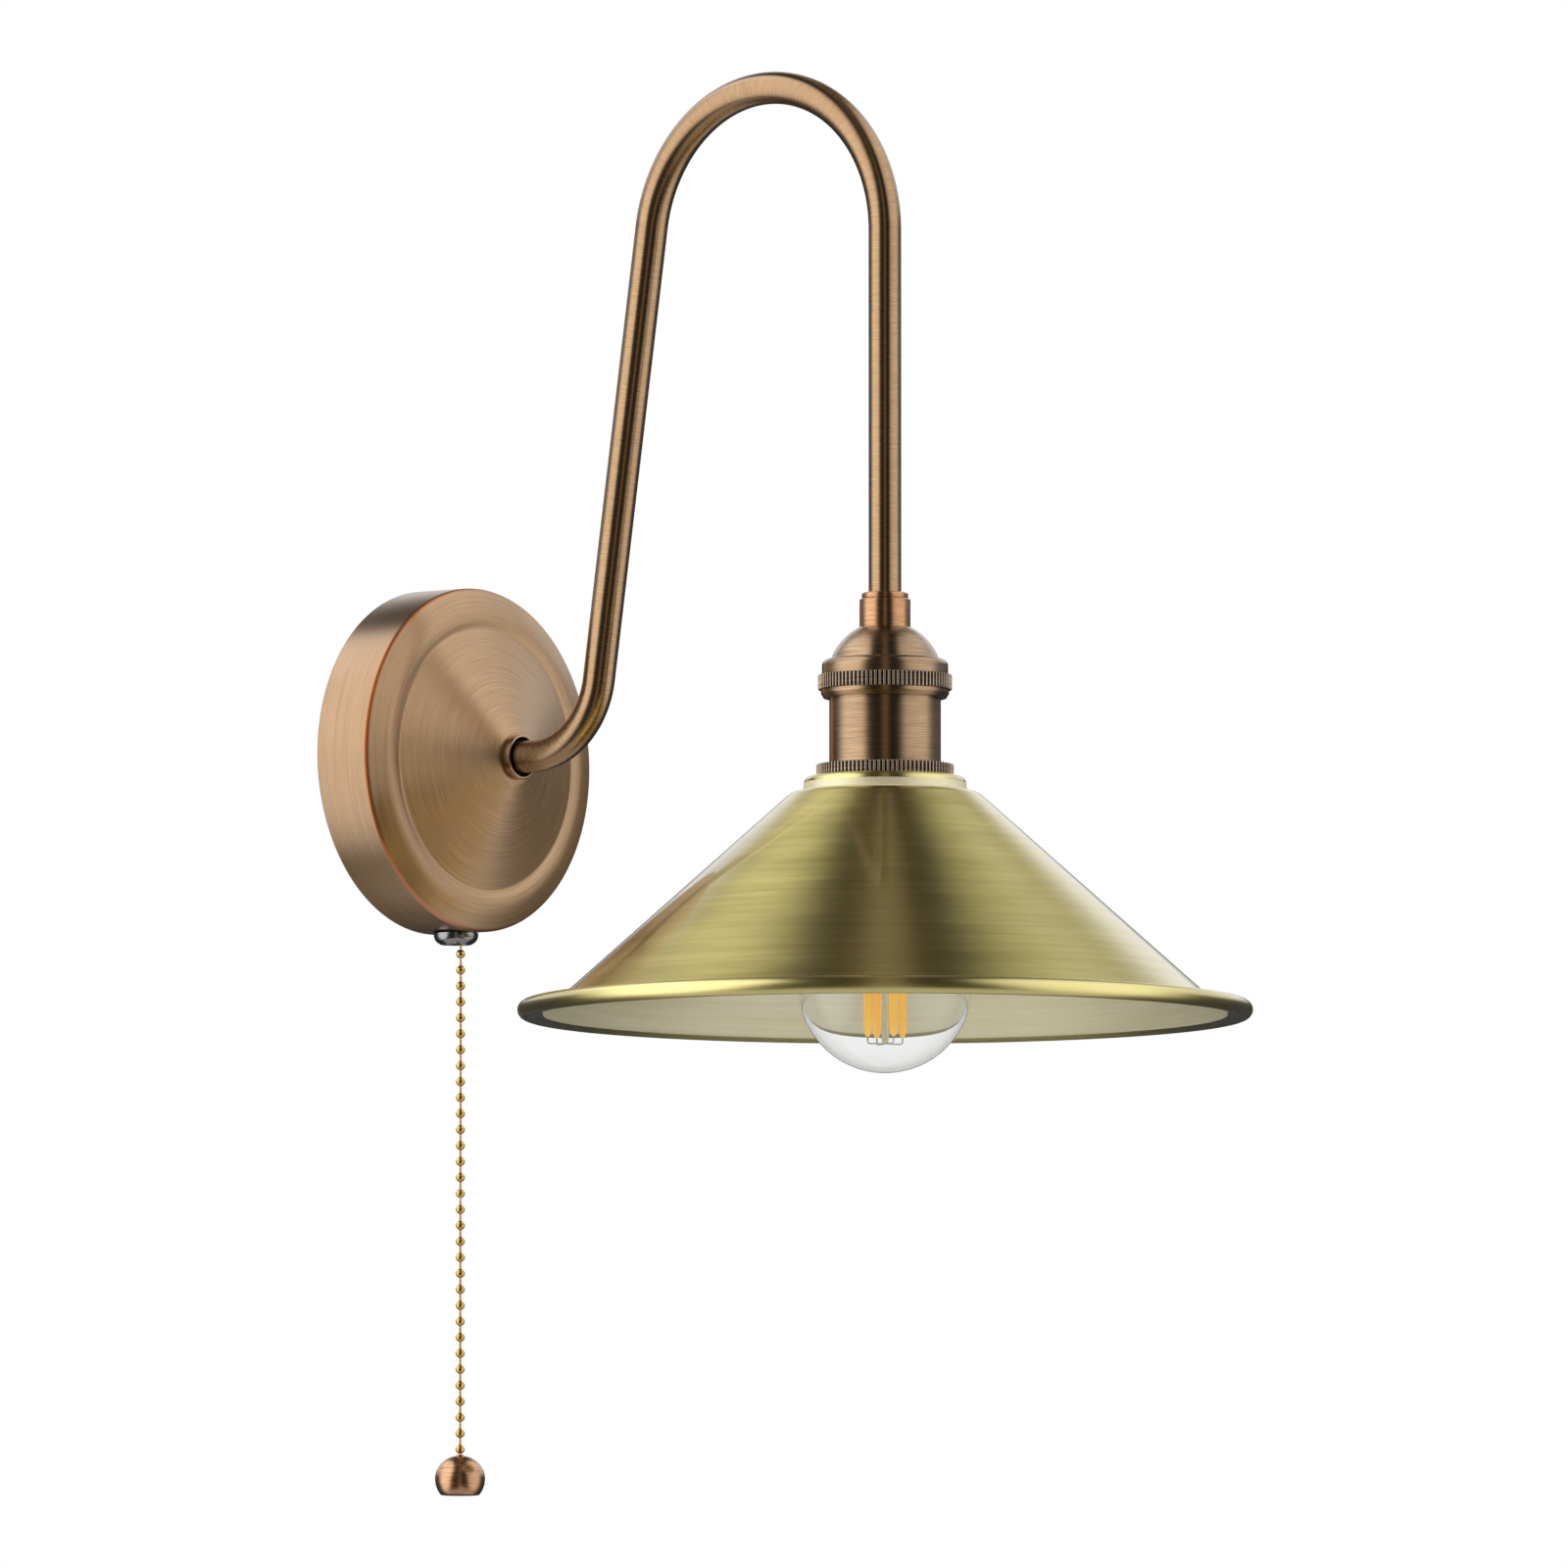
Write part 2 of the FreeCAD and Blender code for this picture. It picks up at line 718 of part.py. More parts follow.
def make_arm():
    """One tube: out of the plate, up the leaning leg, over the arch and down to the holder."""
    route = arm_route()
    flat = {name: Vector(point.y, point.z, 0) for name, point in route.items()}
    body = new_body("arm_tube")
    path = sketch_in(body, "YZ_Plane", "arm_path")
    start = Vector(-S.arm_start_depth.value, 0, 0)
    finish = Vector(-S.projection.value, S.arm_end_height.value, 0)
    low_arc, low_marks = arc_through(flat["bend_start"], flat["bend_end"], flat["bend_centre"], False)
    arch_arc, arch_marks = arc_through(flat["arch_start"], flat["arch_end"], flat["arch_centre"], True)
    stub = path.addGeometry(Part.LineSegment(start, flat["bend_start"]), False)
    low = path.addGeometry(low_arc, False)
    leg = path.addGeometry(Part.LineSegment(flat["bend_end"], flat["arch_start"]), False)
    arch = path.addGeometry(arch_arc, False)
    drop = path.addGeometry(Part.LineSegment(flat["arch_end"], finish), False)
    joints = ((stub, 2, low, low_marks[0]), (low, low_marks[1], leg, 1),
              (leg, 2, arch, arch_marks[0]), (arch, arch_marks[1], drop, 1))
    for first, first_end, second, second_end in joints:
        path.addConstraint(Sketcher.Constraint("Tangent", first, first_end, second, second_end))
    path.addConstraint(Sketcher.Constraint("Horizontal", stub))
    path.addConstraint(Sketcher.Constraint("Vertical", drop))
    hold_point(path, stub, 1, -S.arm_start_depth, 0)
    hold_point(path, drop, 2, -S.projection, S.arm_end_height)
    hold(path, "Radius", (low,), S.low_bend_radius)
    hold(path, "DistanceX", (stub, 2), -bend_start_depth())
    hold(path, "DistanceY", (arch, 3), S.arch_centre_height)
    hold(path, "Angle", (leg,), S.arm_lean + 90)
    section = sketch_in(body, "XZ_Plane", "arm_section", S.arm_start_depth)
    ring_mark(section, 0, 0, S.arm_radius)
    ring_mark(section, 0, 0, S.arm_radius - S.arm_wall)
    sweep = body.newObject("PartDesign::AdditivePipe", "arm_sweep")
    sweep.Profile = section
    sweep.Spine = (path, ["Edge%d" % (i + 1) for i in range(5)])
    body.Tip = sweep
    keep("arm_tube", body)


def make_arm_fixings():
    bore = S.arm_radius + S.arm_fit
    low = S.apex_depth
    high = low + S.collar_height
    on_plate(turned("arm_collar", [
        at(bore, low), at(S.collar_radius, low), at(S.collar_radius, high, 0.35),
        at(S.collar_radius - S.collar_rim, high), at(bore, high - S.collar_cup_depth),
    ]))
    seat = S.apex_depth - S.plate_wall
    on_plate(tube_ring("arm_washer", bore, S.washer_radius, seat - S.washer_thickness, seat))
    nut = hex_nut("arm_lock_nut", S.lock_nut_flats, S.lock_nut_height, S.arm_radius + S.thread_gap)
    on_plate(nut, 0, 0, seat - S.washer_thickness - S.lock_nut_height)


# ---- terminal block ----

def pole_places():
    """Plate-frame centres of the clamp screws, two to each pole."""
    middle = -(S.block_offset + S.block_length / 2)
    return [(middle + S.clamp_row_offset * row, S.pole_offset * pole) for row in (-1, 1) for pole in (-1, 1)]


def make_terminal_block():
    body = new_body("terminal_block")
    base = sketch_in(body, "XY_Plane", "block_outline")
    near = -S.block_offset
    far = near - S.block_length
    half = S.block_width / 2
    trace(base, [at(far, -half), at(near, -half), at(near, half), at(far, half)])
    pad(body, base, S.block_height, "block")
    valley = sketch_in(body, "YZ_Plane", "valley_outline")
    top = S.block_height
    trace(valley, [at(-1, top - 3), at(1, top - 3), at(1, top + 1), at(-1, top + 1)])
    pocket(body, valley, "valley", reverse=False)
    wells = sketch_in(body, "XY_Plane", "wells_outline", S.block_height)
    for x, up in pole_places():
        ring_mark(wells, x, up, S.well_radius)
    pocket(body, wells, "wells", S.well_depth)
    on_plate(body, 0, 0, S.strap_thickness)
    keep("terminal_block", body)
    screws = new_body("terminal_screws")
    marks = sketch_in(screws, "XY_Plane", "clamp_screw_outline")
    for x, up in pole_places():
        ring_mark(marks, x, up, S.clamp_screw_radius)
    screws.AllowCompound = True
    pad(screws, marks, S.clamp_screw_height, "clamp_screws")
    on_plate(screws, 0, 0, S.strap_thickness + S.block_height - S.well_depth)
    keep("terminal_screws", screws)


# ---- pull switch ----

def switch_bottom():
    return S.plate_radius - S.plate_wall - S.switch_wall_gap


def switch_top():
    return switch_bottom() - S.switch_height


def cavity_bottom():
    return switch_bottom() - S.cavity_floor


def cavity_top():
    return switch_top() + S.cavity_roof


def pivot_drop():
    return S.plate_radius + S.pivot_gap


def make_switch():
    """A moulded case that hangs in the plate's lower edge, its threaded neck through the wall."""
    half = S.switch_half_width
    back = S.switch_back + S.switch_cover_thickness
    case = new_body("switch_housing")
    block = sketch_in(case, "XY_Plane", "case_outline", back)
    trace(block, [at(-half, -switch_bottom(), 1), at(half, -switch_bottom(), 1),
                  at(half, -switch_top(), 1), at(-half, -switch_top(), 1)])
    pad(case, block, S.switch_front - back, "case")
    neck = sketch_in(case, "XZ_Plane", "neck_outline", switch_bottom() - 1)
    ring_mark(neck, 0, S.switch_depth, S.neck_radius)
    pad(case, neck, S.plate_radius + S.neck_reach - switch_bottom() + 1, "neck")
    room = sketch_in(case, "XY_Plane", "cavity_outline", back)
    wide = S.cavity_half_width
    trace(room, [at(-wide, -cavity_bottom()), at(wide, -cavity_bottom()),
                 at(wide, -cavity_top()), at(-wide, -cavity_top())])
    pocket(case, room, "cavity", S.switch_front - S.switch_wall - back, reverse=True)
    bore = sketch_in(case, "XZ_Plane", "neck_bore_outline", cavity_bottom() - 1)
    ring_mark(bore, 0, S.switch_depth, S.neck_bore_radius)
    pocket(case, bore, "neck_bore", reverse=True)
    on_plate(case)
    keep("switch_housing", case)
    cover = new_body("switch_cover")
    lid = sketch_in(cover, "XY_Plane", "lid_outline", S.switch_back)
    trace(lid, [at(-half, -switch_bottom(), 1), at(half, -switch_bottom(), 1),
                at(half, -switch_top(), 1), at(-half, -switch_top(), 1)])
    pad(cover, lid, S.switch_cover_thickness, "lid")
    on_plate(cover)
    keep("switch_cover", cover)
    nut = hex_nut("switch_lock_nut", S.switch_nut_flats, S.switch_nut_height, S.neck_radius + S.thread_gap)
    place(nut, 0, -S.switch_depth, -(switch_bottom() + S.switch_nut_height))


def make_bush():
    """The chrome nut that shows under the plate, rounded in to its mouth."""
    top = -S.plate_radius
    low = top - S.bush_height
    curve = S.bush_height - S.bush_flange
    body = turned("switch_bush", [
        at(S.neck_bore_radius, low, 0.3),
        at(S.bush_mouth_radius, low),
        bend_from(S.bush_mouth_radius + 0.4, low + 0.12, curve, True),
        at(S.bush_radius, top - S.bush_flange),
        at(S.bush_radius, top, 0.2),
        at(S.neck_radius + S.thread_gap, top),
        at(S.neck_radius + S.thread_gap, top - S.neck_reach - 0.2),
        at(S.neck_bore_radius, top - S.neck_reach - 0.2),
    ])
    place(body, 0, -S.switch_depth, 0)


def make_slider():
    """The pull piece inside the switch, and the spring under it."""
    back = S.switch_back + S.switch_cover_thickness + S.slider_gap
    front = S.switch_front - S.switch_wall - S.slider_gap
    wide = S.cavity_half_width - S.slider_gap
    top = -(cavity_top() + S.slider_gap)
    foot = top - S.slider_height
    body = new_body("pull_slider")
    block = sketch_in(body, "XY_Plane", "slider_outline", back)
    trace(block, [at(-wide, foot), at(wide, foot), at(wide, top, 1), at(-wide, top, 1)])
    pad(body, block, front - back, "slider")
    on_plate(body)
    keep("pull_slider", body)
    spring = tube_ring("switch_spring", S.spring_inner_radius, S.spring_outer_radius, -cavity_bottom(), foot)
    place(spring, 0, -S.switch_depth, 0)
    return foot


# ---- bead chain ----

BEAD_BANDS = ((-1.0, 0.0), (-0.62, 0.78), (0.0, 1.0), (0.62, 0.78), (1.0, 0.0))


def face_loop(radius, height):
    """A flat octagon about the chain's axis."""
    faces = int(S.bead_face_count.value)
    turn_step = 2 * math.pi / faces
    corners = [Vector(radius * math.cos(turn_step * (k + 0.5)), radius * math.sin(turn_step * (k + 0.5)), height)
               for k in range(faces)]
    return Part.makePolygon(corners + corners[:1])


def bead_string(label, first_bead, bead_count, link_above, link_below):
    """Beads on a thin link, one pitch apart, hung on the chain's axis.

    first_bead counts down from the pivot bead, which is 0. Lengths of link above the first
    bead and below the last one are given as distances from those beads' centres.
    """
    bead, pitch, link = S.bead_radius.value, S.bead_pitch.value, S.link_radius.value
    neck_height = math.sqrt(bead * bead - link * link)
    loops = []
    first_height = -pivot_drop().value - first_bead * pitch
    if link_above:
        loops.append(face_loop(link, first_height + link_above))
    for k in range(bead_count):
        middle = first_height - k * pitch
        for level, width in BEAD_BANDS:
            radius = max(bead * width, link)
            loops.append(face_loop(radius, middle - level * neck_height))
    if link_below:
        loops.append(face_loop(link, first_height - (bead_count - 1) * pitch - link_below))
    solid = Part.makeLoft(loops, True, True)
    feature = DOC.addObject("Part::Feature", label)
    feature.Shape = solid
    place(feature, 0, -S.chain_depth, 0)
    return keep(label, feature)


def make_chain(slider_foot):
    """Beads inside the switch, then two hanging lengths with a pivot bead above each."""
    pitch = S.bead_pitch.value
    reach = pitch - S.bead_radius.value - S.bead_gap.value
    inner = int(S.inner_bead_count.value)
    upper = int(S.upper_bead_count.value)
    lower = int(S.lower_bead_count.value)
    top_bead_height = -pivot_drop().value + inner * pitch
    middle_bead = upper + 1
    bead_string("slider_chain", -inner, inner, slider_foot.value - top_bead_height, reach)
    bead_string("chain_top_bead", 0, 1, 0, 0)
    bead_string("chain_upper", 1, upper, reach, reach)
    bead_string("chain_middle_bead", middle_bead, 1, 0, 0)
    bead_string("chain_lower", middle_bead + 1, lower, reach, 0)


def make_knob():
    """A ball with a slightly drawn-up crown, cut flat underneath."""
    last_bead = pivot_drop() + S.bead_pitch * (S.upper_bead_count + S.lower_bead_count + 1)
    top = -(last_bead + S.bead_radius + S.bead_gap + S.knob_neck_length)
    equator = top - S.knob_equator_drop
    foot = top - S.knob_height
    foot_radius = chord_height(S.knob_radius, equator - foot)
    neck_top = top + S.knob_neck_length
    body = turned("pull_knob", [
        at(0, foot),
        bend_from(foot_radius, foot, S.knob_radius, True),
        bend_from(S.knob_radius, equator, S.knob_shoulder_radius, True),
        at(S.knob_tip_radius, top),
        at(S.knob_neck_radius, top),
        at(S.knob_neck_radius, neck_top),
        at(0, neck_top),
    ])
    place(body, 0, -S.chain_depth, 0)


# ---- lamp holder ----

def make_ferrules():
    bore = S.arm_radius + S.arm_fit
    base = S.ferrule_base_height
    shoulder = base + S.ferrule_height
    top = shoulder + S.ferrule_ring_height
    on_holder(turned("ferrule", [
        at(bore, base), at(S.ferrule_radius, base), at(S.ferrule_radius, shoulder, 0.3), at(bore, shoulder),
    ]))
    on_holder(turned("ferrule_ring", [
        at(bore, shoulder), at(S.ferrule_ring_radius, shoulder),
        at(S.ferrule_ring_radius, top, S.ferrule_ring_round), at(bore, top),
    ]))


def make_dome():
    """A spherical cap with a clamping flange at its foot."""
    bore = S.arm_radius + S.arm_fit
    inner = S.dome_radius - S.dome_wall
    centre = S.dome_centre_height
    top = S.ferrule_base_height
    low = S.dome_flange_height
    high = low + S.clamp_flange_thickness
    on_holder(turned("holder_dome", [
        bend_from(chord_height(inner, low - centre), low, inner, True),
        at(chord_height(inner, top - S.dome_wall - centre), top - S.dome_wall),
        at(bore, top - S.dome_wall),
        at(bore, top),
        bend_from(chord_height(S.dome_radius, top - centre), top, S.dome_radius, False),
        at(chord_height(S.dome_radius, high - centre), high),
        at(S.clamp_flange_radius, high),
        at(S.clamp_flange_radius, low),
    ]))


def make_cap_ring():
    """The knurled ring that clamps dome, insulator and barrel together."""
    clamp_top = S.dome_flange_height + S.clamp_flange_thickness
    dome_hole = chord_height(S.dome_radius, clamp_top - S.dome_centre_height) + S.ring_fit
    bore = S.clamp_flange_radius + S.ring_fit
    barrel_bore = S.barrel_radius + S.ring_fit
    top = S.cap_ring_top_height
    knurl_top = top - S.lip_height
    knurl_foot = knurl_top - S.knurl_height
    skirt_foot = knurl_foot - S.cap_ring_skirt_height
    foot = skirt_foot - S.cap_ring_foot_height
    body = new_body("holder_cap_ring")
    turn(body, [
        at(dome_hole, clamp_top), at(bore, clamp_top), at(bore, skirt_foot), at(barrel_bore, skirt_foot),
        at(barrel_bore, foot), at(S.cap_ring_foot_radius, foot), at(S.cap_ring_skirt_radius, skirt_foot),
        at(S.cap_ring_skirt_radius, knurl_foot), at(S.knurl_radius, knurl_foot),
        at(S.knurl_radius, knurl_top), at(S.lip_radius, knurl_top),
        at(S.lip_radius, top, S.lip_round), at(dome_hole, top),
    ], "ring")
    knurl(body, S.knurl_radius, S.knurl_depth, S.knurl_groove_width, S.knurl_count,
          knurl_top, S.knurl_height, "knurl")
    on_holder(body)
    keep("holder_cap_ring", body)
    return skirt_foot


def make_barrel(ring_step):
    """A plain sleeve, threaded below its shoulder for the shade rings."""
    rim = S.dome_flange_height - S.clamp_flange_thickness
    inner = S.barrel_inner_radius
    step = ring_step + S.ring_fit
    on_holder(turned("holder_barrel", [
        at(inner, S.barrel_foot_height), at(S.barrel_thread_radius, S.barrel_foot_height),
        at(S.barrel_thread_radius, S.barrel_shoulder_height), at(S.barrel_radius, S.barrel_shoulder_height),
        at(S.barrel_radius, step), at(S.clamp_flange_radius, step),
        at(S.clamp_flange_radius, rim), at(inner, rim),
    ]))


def make_insulator():
    """The inner body: a terminal recess above, a socket for the screw shell below."""
    top = S.dome_flange_height
    rim = top - S.clamp_flange_thickness
    outer = S.barrel_inner_radius - S.insulator_gap
    socket = S.shell_radius + S.shell_wall + S.thread_gap
    on_holder(turned("holder_insulator", [
        at(0, S.socket_roof_height), at(socket, S.socket_roof_height), at(socket, S.insulator_foot_height),
        at(outer, S.insulator_foot_height), at(outer, rim), at(S.clamp_flange_radius, rim),
        at(S.clamp_flange_radius, top), at(S.terminal_recess_radius, top),
        at(S.terminal_recess_radius, S.terminal_recess_floor), at(0, S.terminal_recess_floor),
    ]))
    on_holder(tube_ring("screw_shell", S.shell_radius, S.shell_radius + S.shell_wall,
                        S.insulator_foot_height, S.shell_top_height))
    on_holder(turned("centre_contact", [
        at(0, S.socket_roof_height - S.contact_thickness),
        at(S.contact_radius, S.socket_roof_height - S.contact_thickness, 0.5),
        at(S.contact_radius, S.socket_roof_height), at(0, S.socket_roof_height),
    ]))
    screws = new_body("holder_terminals")
    marks = sketch_in(screws, "XY_Plane", "holder_screw_outline")
    for side in (-1, 1):
        ring_mark(marks, S.holder_screw_offset * side, 0, S.holder_screw_radius)
    screws.AllowCompound = True
    pad(screws, marks, S.holder_screw_height, "holder_screws")
    on_holder(screws, S.terminal_recess_floor)
    keep("holder_terminals", screws)


def make_stop_ring():
    """The knurled ring that the shade hangs against."""
    top = S.barrel_shoulder_height
    foot = top - S.stop_ring_height
    bore = S.barrel_thread_radius + S.thread_gap
    body = new_body("shade_stop_ring")
    turn(body, [at(bore, foot), at(S.stop_ring_radius, foot), at(S.stop_ring_radius, top), at(bore, top)],
         "stop_ring")
    knurl(body, S.stop_ring_radius, S.knurl_depth, S.knurl_groove_width, S.stop_knurl_count,
          top, S.stop_ring_height, "stop_knurl")
    on_holder(body)
    keep("shade_stop_ring", body)


# ---- shade ----

def make_shade():
    """Sheet spun into a stepped crown and a cone, its rim led out and rolled into a bead."""
    wall = S.shade_wall
    slope = S.cone_slope
    hole = S.barrel_thread_radius + S.shade_hole_gap
    top = S.shade_top_height
    foot = S.crown_foot_height
    crown = S.crown_radius
    flared = crown + S.crown_flare
    cone_drop = wall * root(slope * slope + 1) / slope
    bead_x = S.bead_ring_radius
    bead_y = S.cone_tip_height - bead_x / slope + S.bead_ring_lift
    outer, inner = S.bead_section_radius, S.bead_section_radius - wall
    lead = S.rim_lead_angle
    rise = tangent(lead)

    def cone_at(height, drop):
        return slope * (S.cone_tip_height - drop - height)

    def on_bead(radius, angle):
        return bead_x + radius * cosine(angle), bead_y + radius * sine(angle)

    def lead_meets_cone(radius, drop):
        """Where the rim's lead-out, a tangent of the bead, crosses the cone."""
        base = bead_y - radius / cosine(lead) + bead_x * rise
        height = (base - rise * slope * (S.cone_tip_height - drop)) / (Size(1) - rise * slope)
        return cone_at(height, drop), height

    low_x, low_y = lead_meets_cone(outer, cone_drop)
    high_x, high_y = lead_meets_cone(inner, 0)
    tangent_angle = Size(-90) - lead
    start_outer = on_bead(outer, tangent_angle)
    start_inner = on_bead(inner, tangent_angle)
    end_outer = on_bead(outer, S.curl_end_angle)
    end_inner = on_bead(inner, S.curl_end_angle)
    on_holder(turned("shade", [
        at(hole, top - wall),
        at(crown - wall, top - wall, S.crown_round - wall),
        at(flared - wall, foot - wall * 0.6),
        at(cone_at(foot - wall, cone_drop), foot - wall, S.shoulder_round - wall),
        at(low_x, low_y, S.rim_lead_round + wall),
        bend_from(start_outer[0], start_outer[1], outer, True, True),
        at(end_outer[0], end_outer[1]),
        bend_from(end_inner[0], end_inner[1], inner, False, True),
        at(start_inner[0], start_inner[1]),
        at(high_x, high_y, S.rim_lead_round),
        at(cone_at(foot, 0), foot, S.shoulder_round),
        at(flared, foot, S.crown_foot_round),
        at(crown, top, S.crown_round),
        at(hole, top),
    ]))


def make_retaining_ring():
    """The ring inside the crown that screws up under the shade, notched for the fingers."""
    high = S.shade_top_height - S.shade_wall
    low = high - S.retaining_ring_height
    bore = S.barrel_thread_radius + S.shade_hole_gap
    body = new_body("shade_retaining_ring")
    turn(body, [
        at(bore, low), at(S.retaining_ring_radius, low), at(S.retaining_ring_radius, high), at(bore, high),
    ], "retaining_ring")
    notch = sketch_in(body, "XY_Plane", "notch_outline", low)
    half = S.retaining_notch_width / 2
    rim = S.retaining_ring_radius
    trace(notch, [at(rim - S.retaining_notch_depth, -half), at(rim + 1, -half),
                  at(rim + 1, half), at(rim - S.retaining_notch_depth, half)])
    cut = pocket(body, notch, "notch", S.retaining_ring_height, reverse=True)
    repeat_round(body, cut, S.retaining_notch_count, "notches")
    on_holder(body)
    keep("shade_retaining_ring", body)


# ---- bulb ----

def neck_arc(neck, globe):
    """Radius of the hollow curve that joins the neck to the globe, and where it meets the globe."""
    drop = S.glass_neck_height - S.globe_height
    radius = (neck * neck + drop * drop - globe * globe) / ((globe - neck) * 2)
    share = globe / (globe + radius)
    return radius, (neck + radius) * share, S.globe_height + drop * share


def make_glass():
    """A thin glass globe that runs up a waisted neck into the cap."""
    neck, globe = S.glass_neck_radius, S.globe_radius
    inner_neck, inner_globe = neck - S.glass_wall, globe - S.glass_wall
    curve, meet_x, meet_z = neck_arc(neck, globe)
    inner_curve, inner_meet_x, inner_meet_z = neck_arc(inner_neck, inner_globe)
    on_holder(turned("bulb_glass", [
        bend_from(0, S.globe_height - globe, globe, True),
        bend_from(meet_x, meet_z, curve, False),
        at(neck, S.glass_neck_height),
        at(neck, S.glass_top_height),
        at(inner_neck, S.glass_top_height),
        bend_from(inner_neck, S.glass_neck_height, inner_curve, True),
        bend_from(inner_meet_x, inner_meet_z, inner_globe, False),
        at(0, S.globe_height - inner_globe),
    ]))


def make_bulb_cap():
    inner = S.cap_radius - S.cap_wall
    roof = S.cap_roof_height
    on_holder(turned("bulb_cap", [
        at(inner, S.cap_foot_height), at(S.cap_radius, S.cap_foot_height),
        at(S.cap_radius, S.cap_shoulder_height), at(S.cap_roof_radius, roof),
        at(S.cap_roof_radius - S.cap_wall, roof - S.cap_wall), at(inner, S.cap_shoulder_height - S.cap_wall),
    ]))
    on_holder(turned("bulb_insulator", [
        at(0, roof - S.cap_wall * 2), at(S.cap_roof_radius - S.cap_wall * 2, roof - S.cap_wall * 2),
        at(S.cap_roof_radius - S.cap_wall, roof - S.cap_wall), at(S.cap_roof_radius, roof),
        at(S.tip_radius, S.tip_base_height), at(0, S.tip_base_height),
    ]))
    on_holder(turned("bulb_contact", [
        at(0, S.tip_base_height), at(S.tip_radius, S.tip_base_height),
        at(S.tip_radius, S.tip_height, 0.8), at(0, S.tip_height),
    ]))


def make_bulb_core():
    """The glass stem with its filaments in a ring, tied at the foot by fine wires."""
    flare = S.glass_neck_radius - S.glass_wall
    top = S.glass_top_height
    on_holder(turned("bulb_stem", [
        at(0, S.stem_end_height), at(S.stem_tip_radius, S.stem_end_height),
        at(S.stem_tip_radius, S.stem_foot_height - 4), at(S.stem_radius, S.stem_foot_height),
        at(S.stem_radius, top - 6, 2), at(flare, top), at(flare, top + 0.8), at(0, top + 0.8),
    ]))
    rods = new_body("bulb_filaments")
    mark = sketch_in(rods, "XY_Plane", "filament_outline", S.filament_foot_height)
    ring_mark(mark, S.filament_ring_radius, 0, S.filament_radius)
    rods.AllowCompound = True
    rod = pad(rods, mark, S.filament_top_height - S.filament_foot_height, "filament")
    repeat_round(rods, rod, S.filament_count, "filaments")
    place(rods, 0, -S.projection, 0, Rotation(Vector(0, 0, 1), S.filament_bearing.value))
    keep("bulb_filaments", rods)
    frame = new_body("filament_frame")
    wire = S.frame_wire_radius
    frame.AllowCompound = True
    for name, level, end in (
        ("foot", S.filament_foot_height - S.frame_wire_drop, S.filament_foot_height),
        ("head", S.filament_top_height + S.frame_wire_drop, S.filament_top_height),
    ):
        spoke = sketch_in(frame, "YZ_Plane", name + "_spoke_outline", S.stem_tip_radius if name == "foot" else S.stem_radius)
        ring_mark(spoke, 0, level, wire)
        start = S.stem_tip_radius if name == "foot" else S.stem_radius
        spoke_pad = pad(frame, spoke, S.filament_ring_radius + wire - start, name + "_spoke")
        post = sketch_in(frame, "XY_Plane", name + "_post_outline", level)
        ring_mark(post, S.filament_ring_radius, 0, wire)
        post_pad = pad(frame, post, S.frame_wire_drop, name + "_post", reverse=(name == "head"))
        pattern = frame.newObject("PartDesign::PolarPattern", name + "_spokes")
        pattern.Originals = [spoke_pad, post_pad]
        pattern.Axis = (post, ["N_Axis"])
        pattern.Angle = 360.0
        bind(pattern, "Occurrences", S.filament_count)
        frame.Tip = pattern
    place(frame, 0, -S.projection, 0, Rotation(Vector(0, 0, 1), S.filament_bearing.value))
    keep("filament_frame", frame)


# ---- wires ----

def soft_route(points):
    """Straight runs joined by tangent arcs, each as large as its two runs allow."""
    edges = []
    start = points[0]
    radii = []
    for before, corner, after in zip(points, points[1:], points[2:]):
        back, ahead = before - corner, after - corner
        half = back.getAngle(ahead) / 2
        reach = 0.45 * min(back.Length, ahead.Length)
        back.normalize()
        ahead.normalize()
        radius = reach * math.tan(half)
        centre = corner + (back + ahead).normalize() * (radius / math.sin(half))
        first, last = corner + back * reach, corner + ahead * reach
        middle = centre + (corner - centre).normalize() * radius
        edges += [Part.LineSegment(start, first).toShape(), Part.Arc(first, middle, last).toShape()]
        radii.append(round(radius, 1))
        start = last
    edges.append(Part.LineSegment(start, points[-1]).toShape())
    return Part.Wire(edges), radii


def sweep_round(label, wires, radius):
    """A round cable along each wire."""
    solids = []
    for wire in wires:
        first = wire.OrderedEdges[0]
        begin = first.valueAt(first.FirstParameter)
        heading = first.tangentAt(first.FirstParameter)
        section = Part.Wire([Part.makeCircle(radius, begin, heading)])
        solid = wire.makePipeShell([section], True, False)
        expected = math.pi * radius * radius * wire.Length
        print(label, "length", round(wire.Length, 1), "volume ratio", round(solid.Volume / expected, 4))
        solids.append(solid)
    feature = DOC.addObject("Part::Feature", label)
    feature.Shape = solids[0] if len(solids) == 1 else Part.makeCompound(solids)
    feature.Placement = Placement()
    return keep(label, feature)


